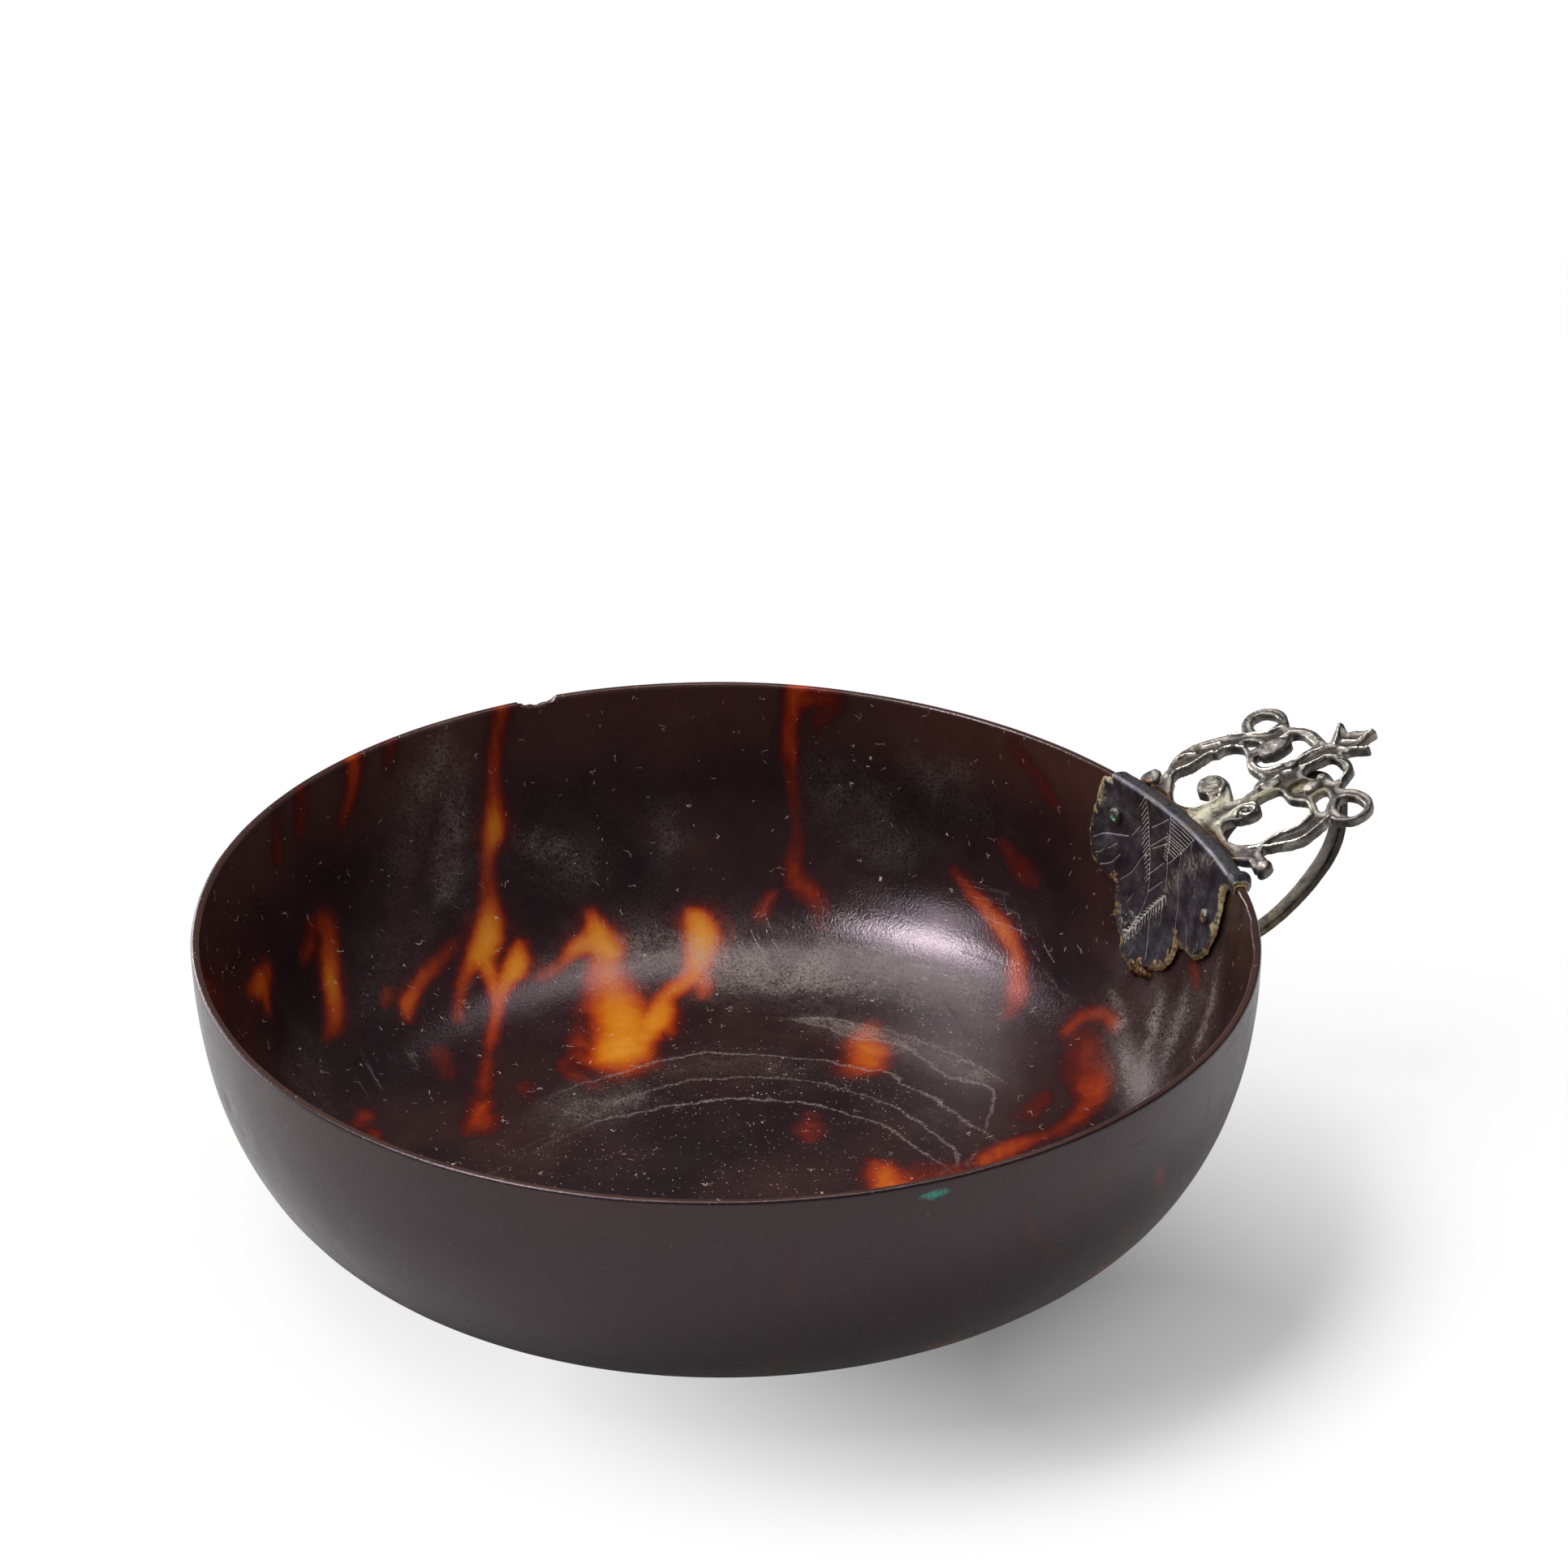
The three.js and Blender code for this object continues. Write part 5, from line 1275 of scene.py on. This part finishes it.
def cast_silver():
    """Low-grade cast silver, filed and handled: grey in the hollows, with painted shade in
    the right ring's recess, bright along every ridge, brown at the root, with a cream
    and yellow-green crust left in the corners."""
    material, node = new_material("silver_cast_worn")
    where = node("TexCoord", out="Object")
    ridge, low, cream, green, brown = (
        node("Attribute", out="Fac", attribute_name=name)
        for name in ("ridge", "low", "cream", "green", "brown")
    )
    # tarnish in 1.6 mm clouds, casting grain at 0.28 mm, warmer patches of 3.2 mm, crust crumbs of 0.6 mm
    cloudy, fine, warm, crumb = (
        node("TexNoise", {"Vector": where, "Scale": 1 / (size * MM), "Detail": detail, "Roughness": rough})
        for size, detail, rough in ((1.6, 5, 0.65), (0.28, 4, 0.7), (3.2, 3, 0.55), (0.6, 5, 0.75))
    )
    body = node("ValToRGB", {"Fac": cloudy}, stops=[(0.3, "#413e3d"), (0.5, "#6d6966"), (0.68, "#a8a198")])
    warm = node("MapRange", {"Value": warm, "From Min": 0.54, "From Max": 0.7, "To Max": 0.6})
    worn = node("Math", {0: cloudy, 1: 0.6, 2: ridge}, operation="MULTIPLY_ADD")
    worn = node("Math", {0: fine, 1: 0.5, 2: worn}, operation="MULTIPLY_ADD")
    worn = node("MapRange", {"Value": worn, "From Min": 0.92, "From Max": 1.26})
    crumb = node("MapRange", {"Value": crumb, "From Min": 0.34, "From Max": 0.52})
    chalk = node("Math", {0: cream, 1: crumb}, operation="MULTIPLY", use_clamp=True)
    verdigris = node("Math", {0: green, 1: crumb}, operation="MULTIPLY", use_clamp=True)
    surface = body
    # low greys the hollows as tarnish and paints shade into the right ring's recess
    for amount, paint in ((low, "#3a3532"), (warm, "#5d4a38"), (worn, "#e2dccf"), (brown, "#4a3828"),
                          (verdigris, "#aaa278"), (chalk, "#e3dfc4")):
        surface = node("Mix", {0: amount, 6: surface, 7: paint}, out=2, data_type="RGBA")
    crust = node("Math", {0: chalk, 1: verdigris}, operation="MAXIMUM")
    rough = node("MapRange", {"Value": worn, "To Min": 0.44, "To Max": 0.26})
    rough = node("Math", {0: crust, 1: 0.5, 2: rough}, operation="MULTIPLY_ADD", use_clamp=True)
    metallic = node("Math", {0: crust, 1: -0.95, 2: 0.95}, operation="MULTIPLY_ADD", use_clamp=True)
    bump = node("Bump", {"Strength": 0.5, "Distance": 0.00007, "Height": fine})
    shader = node("BsdfPrincipled", {"Base Color": surface, "Roughness": rough, "Metallic": metallic,
                                     "Normal": bump})
    node("OutputMaterial", {"Surface": shader})
    return material


# Finger ring

STRAP_THICKNESS = 0.95
STRAP_WIDE = 2.6
STRAP_NARROW = 1.8
# Its middle line from the side, (out, up), from under the stem round to its kicked-up end

RING_LINE = [
    (64.0, 30.5), (66.6, 31.35), (68.6, 31.0), (69.8, 29.4), (70.1, 27.2), (69.8, 24.4), (68.9, 22.1),
    (67.5, 20.1), (65.2, 17.7), (62.4, 15.6), (59.4, 14.2), (56.8, 14.0), (55.4, 15.4), (55.1, 18.0),
    (55.4, 22.0), (55.6, 25.6), (56.4, 27.4), (57.6, 28.8),
]
# The strap's section: (across in half widths, out in thicknesses), hollow on its inner face
STRAP_SECTION = [
    (-1, -.30), (-.86, -.46), (-.5, -.5), (.5, -.5), (.86, -.46), (1, -.30), (1, .34), (.9, .48),
    (.72, .46), (.5, .26), (.2, .2), (-.2, .2), (-.5, .26), (-.72, .46), (-.9, .48), (-1, .34),
]


def make_ring():
    """A strap bent to a D: a sheet rolled to the section, drawn along the line and closed at both ends."""
    line = along(RING_LINE, 0.22)
    ahead = np.gradient(line, axis=0)
    run = ahead / np.linalg.norm(ahead, axis=1)[:, None]
    length = np.concatenate([[0], np.cumsum(np.hypot(*np.diff(line, axis=0).T))])
    section = np.array(STRAP_SECTION + STRAP_SECTION[:1])
    ring, i, j = new_grid("strap_finger_ring", len(section), len(line))
    half = (STRAP_WIDE - (STRAP_WIDE - STRAP_NARROW) * fade(length[j] / length[-1], 0.1, 0.6)) / 2
    across, out = section[i].T * [[1], [STRAP_THICKNESS]]
    place(ring, np.stack([line[j, 0] - run[j, 1] * out, across * half, line[j, 1] + run[j, 0] * out], -1))
    choose(ring)
    bpy.ops.object.mode_set(mode="EDIT")
    bpy.ops.mesh.select_all(action="SELECT")
    bpy.ops.mesh.remove_doubles(threshold=0.002 * MM)
    bpy.ops.mesh.fill_holes(sides=0)
    bpy.ops.mesh.select_all(action="SELECT")
    bpy.ops.mesh.normals_make_consistent(inside=False)
    bpy.ops.object.mode_set(mode="OBJECT")
    modify(ring, "SUBSURF", levels=2, render_levels=2)
    points = corners(ring)
    points += facing(ring) * (0.03 * grain(points, 1.8, 3, 3.0))[:, None]
    place(ring, points)
    mark(ring, "ridge", 0.5 + creases(ring) / 0.03)
    mark(ring, "stain", 0.6 * swell(points[:, 0], 62, 3.5) * swell(points[:, 2], 15, 3.5))
    choose(ring)
    bpy.ops.object.shade_smooth()
    return ring


def strap_silver():
    """Silver strap gone brown-black, with the edges rubbed paler."""
    material, node = new_material("silver_strap_tarnished")
    where = node("TexCoord", out="Object")
    ridge, stain = (node("Attribute", out="Fac", attribute_name=name) for name in ("ridge", "stain"))
    # tarnish in 2.2 mm clouds, grain at 0.3 mm, crust crumbs of 0.9 mm
    cloudy, fine, crumb = (
        node("TexNoise", {"Vector": where, "Scale": 1 / (size * MM), "Detail": detail, "Roughness": rough})
        for size, detail, rough in ((2.2, 5, 0.65), (0.3, 4, 0.7), (0.9, 5, 0.7))
    )
    surface = node("ValToRGB", {"Fac": cloudy}, stops=[(0.3, "#2b2523"), (0.7, "#4a443d")])
    worn = node("Math", {0: cloudy, 1: 0.4, 2: ridge}, operation="MULTIPLY_ADD")
    worn = node("MapRange", {"Value": worn, "From Min": 0.84, "From Max": 1.12})
    crumb = node("MapRange", {"Value": crumb, "From Min": 0.45, "From Max": 0.62})
    crust = node("Math", {0: stain, 1: crumb}, operation="MULTIPLY", use_clamp=True)
    for amount, paint in ((worn, "#8b857a"), (crust, "#9a8f6a")):
        surface = node("Mix", {0: amount, 6: surface, 7: paint}, out=2, data_type="RGBA")
    rough = node("Math", {0: cloudy, 1: 0.2, 2: 0.32}, operation="MULTIPLY_ADD")
    rough = node("Math", {0: crust, 1: 0.3, 2: rough}, operation="MULTIPLY_ADD", use_clamp=True)
    bump = node("Bump", {"Strength": 0.4, "Distance": 0.00006, "Height": fine})
    shader = node("BsdfPrincipled", {"Base Color": surface, "Roughness": rough, "Metallic": 0.9,
                                     "Normal": bump})
    node("OutputMaterial", {"Surface": shader})
    return material


# Rivets and resin

SHANK_RADIUS = 0.8
# How far the head's seat stands in from the inner wall, and the far end out from the outer one
HEAD_STANDS = 0.92
END_STANDS = 0.75
# Beads of resin: (across, up the wall, half width, half height)
RESIN_BEADS = [(3.9, 10.9, .75, .5), (3.1, 10.75, .95, .62), (2.2, 10.75, .85, .62), (1.4, 10.8, .6, .5),
               (2.8, 11.4, .9, .5), (.9, 10.9, .4, .36), (3.4, 10.2, .5, .35)]

def make_rivet(name, across, height, wide, crater, aside, seed):
    """A worn domed head inside, cratered to one side, the shank, and a peened end outside."""
    turn = turn_at(height)
    head_seat = math.sqrt(offset_from(turn, -wall_at(turn) - HEAD_STANDS)[0] ** 2 - across**2)
    far_end = math.sqrt(offset_from(turn, END_STANDS)[0] ** 2 - across**2)
    deselect()
    bpy.ops.mesh.primitive_uv_sphere_add(segments=64, ring_count=40, radius=MM)
    head = bpy.context.object
    points = corners(head)
    points[:, 2] *= np.where(points[:, 2] > 0, 0.42, 0.9)
    points[:, :2] *= wide
    gap = np.hypot(points[:, 0] - aside, points[:, 1])
    points[:, 2] -= crater * swell(gap, 0, 0.36) * (points[:, 2] > 0)
    points += points * (0.1 * grain(points, 0.5, 3, seed))[:, None]
    pit = swell(gap, 0, 0.5) * (points[:, 2] > 0)
    # the head faces into the bowl, square to the wall
    lean = math.atan2(across, head_seat)
    normal = np.array([-math.cos(lean), -math.sin(lean), 0.12])
    normal /= np.linalg.norm(normal)
    side = np.cross([0, 0, 1], normal)
    side /= np.linalg.norm(side)
    up = np.cross(normal, side)
    seat = settled([[head_seat, across, height]])[0]
    place(head, points @ np.stack([side, up, normal]) + seat)
    mark(head, "pit", pit)
    deselect()
    length = far_end - head_seat + 0.4
    bpy.ops.mesh.primitive_cylinder_add(vertices=32, radius=SHANK_RADIUS * MM, depth=length * MM)
    shank = bpy.context.object
    points = corners(shank)
    middle = settled([[(far_end + head_seat) / 2, across, height]])[0]
    end = points[:, 2] > 0
    points[:, :2] *= np.where(end, 1.35, 1.0)[:, None]
    place(shank, np.stack([points[:, 2], points[:, 0], points[:, 1]], -1) + middle)
    modify(shank, "BEVEL", width=0.25 * MM, segments=4)
    deselect()
    shank.select_set(True)
    head.select_set(True)
    bpy.context.view_layer.objects.active = head
    bpy.ops.object.join()
    head.name = name
    smooth(head, 50)
    return head


def corroded_rivet():
    """Copper-alloy rivet under worn silver colour: brown pit with verdigris in it."""
    material, node = new_material("rivet_corroded")
    where = node("TexCoord", out="Object")
    pit = node("Attribute", out="Fac", attribute_name="pit")
    # corrosion in 0.4 mm clouds, verdigris in 0.55 mm spots
    fine, spot = (
        node("TexNoise", {"Vector": where, "Scale": 1 / (size * MM), "Detail": detail, "Roughness": rough})
        for size, detail, rough in ((0.4, 5, 0.7), (0.55, 3, 0.5))
    )
    metal = node("ValToRGB", {"Fac": fine}, stops=[(0.3, "#3c3a3e"), (0.7, "#8b857e")])
    brown = node("ValToRGB", {"Fac": fine}, stops=[(0.4, "#5a3220"), (0.6, "#b27a4a")])
    spot = node("MapRange", {"Value": spot, "From Min": 0.52, "From Max": 0.58})
    green = node("Mix", {0: spot, 6: brown, 7: "#5fae94"}, out=2, data_type="RGBA")
    within = node("Math", {0: fine, 1: 0.6, 2: pit}, operation="MULTIPLY_ADD")
    within = node("MapRange", {"Value": within, "From Min": 0.62, "From Max": 0.78})
    surface = node("Mix", {0: within, 6: metal, 7: green}, out=2, data_type="RGBA")
    metallic = node("Math", {0: within, 1: -0.8, 2: 0.9}, operation="MULTIPLY_ADD", use_clamp=True)
    bump = node("Bump", {"Strength": 0.6, "Distance": 0.0001, "Height": fine})
    shader = node("BsdfPrincipled", {"Base Color": surface, "Roughness": 0.42, "Metallic": metallic,
                                     "Normal": bump})
    node("OutputMaterial", {"Surface": shader})
    return material


def make_resin():
    """Beads of resin run together under the middle lobe."""
    pieces = []
    for across, height, wide, high in RESIN_BEADS:
        deselect()
        bpy.ops.mesh.primitive_ico_sphere_add(subdivisions=4, radius=MM)
        bead = bpy.context.object
        turn = turn_at(height)
        radius, level = offset_from(turn, -wall_at(turn) - 0.35)
        points = corners(bead) * [0.62, wide, high]
        tilt = np.array(Matrix.Rotation(0.55, 3, "Y"))
        centre = settled([[math.sqrt(radius**2 - across**2), across, level]])[0]
        place(bead, points @ tilt.T + centre)
        pieces.append(bead)
    whole = fuse(pieces, "resin_run", 0.07, 3)
    points = corners(whole)
    points += facing(whole) * (0.07 * grain(points, 0.8, 3, 2.0))[:, None]
    place(whole, points)
    choose(whole)
    bpy.ops.object.shade_smooth()
    return whole


def amber_resin():
    """Shellac-like resin, run and set hard: glossy brown, tan where it is full of dust."""
    material, node = new_material("resin_set")
    where = node("TexCoord", out="Object")
    # dust mixed in by 0.9 mm clouds
    mixed = node("TexNoise", {"Vector": where, "Scale": 1 / (0.9 * MM), "Detail": 4.0, "Roughness": 0.6})
    body = node("ValToRGB", {"Fac": mixed}, stops=[(0.46, "#4a2a12"), (0.68, "#a07b48")])
    rough = node("MapRange", {"Value": mixed, "From Min": 0.48, "From Max": 0.68, "To Min": 0.14,
                              "To Max": 0.6})
    shader = node("BsdfPrincipled", {"Base Color": body, "Roughness": rough, "IOR": 1.52})
    node("OutputMaterial", {"Surface": shader})
    return material


def dress(piece, node, material):
    piece.data.materials.clear()
    piece.data.materials.append(material)
    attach(piece, "root")
    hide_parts(node)


# Studio

def make_floor():
    """White paper that stays white to the camera beyond the object's shadow and beside it."""
    deselect()
    bpy.ops.mesh.primitive_plane_add(size=8.0)
    floor = bpy.context.object
    floor.name = "pale_floor"
    material, node = new_material("floor_white_paper")
    where = node("TexCoord", out="Object")
    away = node("VectorMath", {0: where}, out="Value", operation="LENGTH")
    beyond = node("MapRange", {"Value": away, "From Min": 0.14, "From Max": 0.3})
    shaded = node("VectorMath", {0: where, 1: SHADOW_MIDDLE}, out="Value", operation="DISTANCE")
    beside_it = node("MapRange", {"Value": shaded, "From Min": 0.016, "From Max": 0.06, "To Max": 0.8})
    camera_ray = node("LightPath", out="Is Camera Ray")
    mirrored = camera_ray.node.outputs["Is Glossy Ray"]
    seen = node("Math", {0: camera_ray, 1: mirrored}, operation="MAXIMUM")
    beyond = node("Math", {0: beyond, 1: seen}, operation="MULTIPLY")
    beside_it = node("Math", {0: beside_it, 1: camera_ray}, operation="MULTIPLY")
    plain = node("Math", {0: beyond, 1: beside_it}, operation="MAXIMUM")
    paper = node("BsdfPrincipled", {"Base Color": "#fcfcfc", "Roughness": 0.9, "Specular IOR Level": 0.0})
    # a little whiter to the camera than the light makes it, shadow and all
    lift = node("Math", {0: camera_ray, 1: FLOOR_LIFT}, operation="MULTIPLY")
    lift = node("Emission", {"Color": (1, 1, 1, 1), "Strength": lift})
    paper = node("AddShader", {0: paper, 1: lift})
    white = node("Emission", {"Color": (1, 1, 1, 1), "Strength": 1.0})
    shader = node("MixShader", {0: plain, 1: paper, 2: white})
    node("OutputMaterial", {"Surface": shader})
    floor.data.materials.append(material)


def make_room():
    """White to the camera and through clear things, dim as light, and dark in gloss above the horizon."""
    world = bpy.data.worlds.new("studio")
    bpy.context.scene.world = world
    world.use_nodes = True
    world.node_tree.nodes.clear()
    node = partial(add, world.node_tree)
    seen = node("LightPath", out="Is Camera Ray")
    through = seen.node.outputs["Is Transmission Ray"]
    mirrored = seen.node.outputs["Is Glossy Ray"]
    direct = node("Math", {0: seen, 1: through}, operation="MAXIMUM")
    bearing = node("TexCoord", out="Generated")
    up = node("SeparateXYZ", {"Vector": bearing}, out="Z")
    sweep = node("MapRange", {"Value": up, "From Min": 0.01, "From Max": 0.1, "To Min": 1.0,
                              "To Max": ROOM_GLOSS})
    gloss = node("Math", {0: mirrored, 1: sweep}, operation="MULTIPLY")
    level = node("Math", {0: direct, 1: gloss}, operation="MAXIMUM")
    other = node("Math", {0: direct, 1: mirrored}, operation="MAXIMUM")
    other = node("Math", {0: other, 1: -ROOM_LIGHT, 2: ROOM_LIGHT}, operation="MULTIPLY_ADD")
    level = node("Math", {0: level, 1: other}, operation="ADD")
    back = node("Background", {"Color": (1, 1, 1, 1), "Strength": level})
    node("OutputWorld", {"Surface": back})


def softbox(name, bearing, rise, distance, size, radiance, shape="RECTANGLE", diffuse=False):
    """A soft light on a bearing seen from the camera (0 right, 90 away) and a height angle."""
    turn = math.radians(bearing - VIEW_BEARING)
    lift = math.radians(rise)
    aim = Vector((0, 0, 0.015))
    toward = Vector((math.cos(turn) * math.cos(lift), math.sin(turn) * math.cos(lift), math.sin(lift)))
    spot = toward * distance + aim
    data = bpy.data.lights.new(name, "AREA")
    data.shape = shape
    data.size, data.size_y = size
    area = size[0] * size[1] * (math.pi / 4 if shape == "ELLIPSE" else 1)
    data.energy = math.pi * radiance * area
    lamp = bpy.data.objects.new(name, data)
    lamp.location = spot
    lamp.rotation_euler = (aim - spot).to_track_quat("-Z", "Y").to_euler()
    lamp.visible_camera = False
    lamp.visible_diffuse = diffuse
    lamp.visible_glossy = not diffuse
    bpy.context.scene.collection.objects.link(lamp)


def make_camera():
    """The photograph's camera: its bearing, its tilt from straight down and its small roll, in degrees."""
    data = bpy.data.cameras.new("camera")
    data.sensor_width = 36
    data.lens = CAMERA_LENS
    data.clip_start = 0.01
    camera = bpy.data.objects.new("camera", data)
    turns = [(-VIEW_BEARING, "Z"), (CAMERA_TILT, "X"), (CAMERA_ROLL, "Z")]
    camera.matrix_world = Matrix.Translation(CAMERA_PLACE)
    for angle, axis in turns:
        camera.matrix_world = camera.matrix_world @ Matrix.Rotation(math.radians(angle), 4, axis)
    bpy.context.scene.collection.objects.link(camera)
    bpy.context.scene.camera = camera


# Metres, degrees and millimetres of focal length
CAMERA_PLACE = (-0.207086, -0.500553, 0.331193)
CAMERA_TILT = 62.175
CAMERA_ROLL = -0.481
CAMERA_LENS = 140.35
ROOM_LIGHT = 0.46
ROOM_GLOSS = 0.08
FLOOR_LIFT = 0.14
# Middle of the shadow on the floor, in metres
SHADOW_MIDDLE = (0.0235, -0.0505, 0.0)

bowl = make_bowl()
clasp = make_clasp()
cement = make_cement()
thumbpiece = make_thumbpiece()
ring = make_ring()
rivet_left = make_rivet("rivet_head_left", 11.9, 25.3, 0.92, 0.3, 0.0, 1.0)
rivet_right = make_rivet("rivet_head_right", -7.3, 22.6, 0.8, 0.14, 0.1, 4.0)
resin = make_resin()

rivet_metal = corroded_rivet()
dress(bowl, "bowl", tortoiseshell())
dress(clasp, "rim_clasp", tarnished_silver())
dress(cement, "bedding_cement", dried_cement())
dress(thumbpiece, "thumbpiece", cast_silver())
dress(ring, "finger_ring", strap_silver())
dress(rivet_left, "rivet_left", rivet_metal)
dress(rivet_right, "rivet_right", rivet_metal)
dress(resin, "resin_bead", amber_resin())

make_camera()
make_floor()
make_room()
# two soft lamps light the object and throw its shadow; the others only show in its gloss
softbox("overhead", 150, 65, 1.0, (0.4, 0.4), 8.0, diffuse=True)
softbox("fill", -170, 60, 1.0, (0.4, 0.4), 4.5, diffuse=True)
softbox("window", 180, 61, 0.9, (0.18, 0.19), 55.0, shape="ELLIPSE")
softbox("window_above", 162, 67, 0.9, (0.16, 0.16), 16.0, shape="ELLIPSE")
softbox("window_below", -158, 46, 0.9, (0.14, 0.28), 13.0, shape="ELLIPSE")
softbox("back_panel", 114, 62, 1.0, (0.8, 0.16), 7.5)
softbox("back_strip", 124, 22, 1.0, (0.3, 0.2), 12.0)
softbox("low_strip", 145, 5, 1.0, (0.9, 0.4), 6.0)
bpy.context.scene.view_settings.view_transform = "Standard"
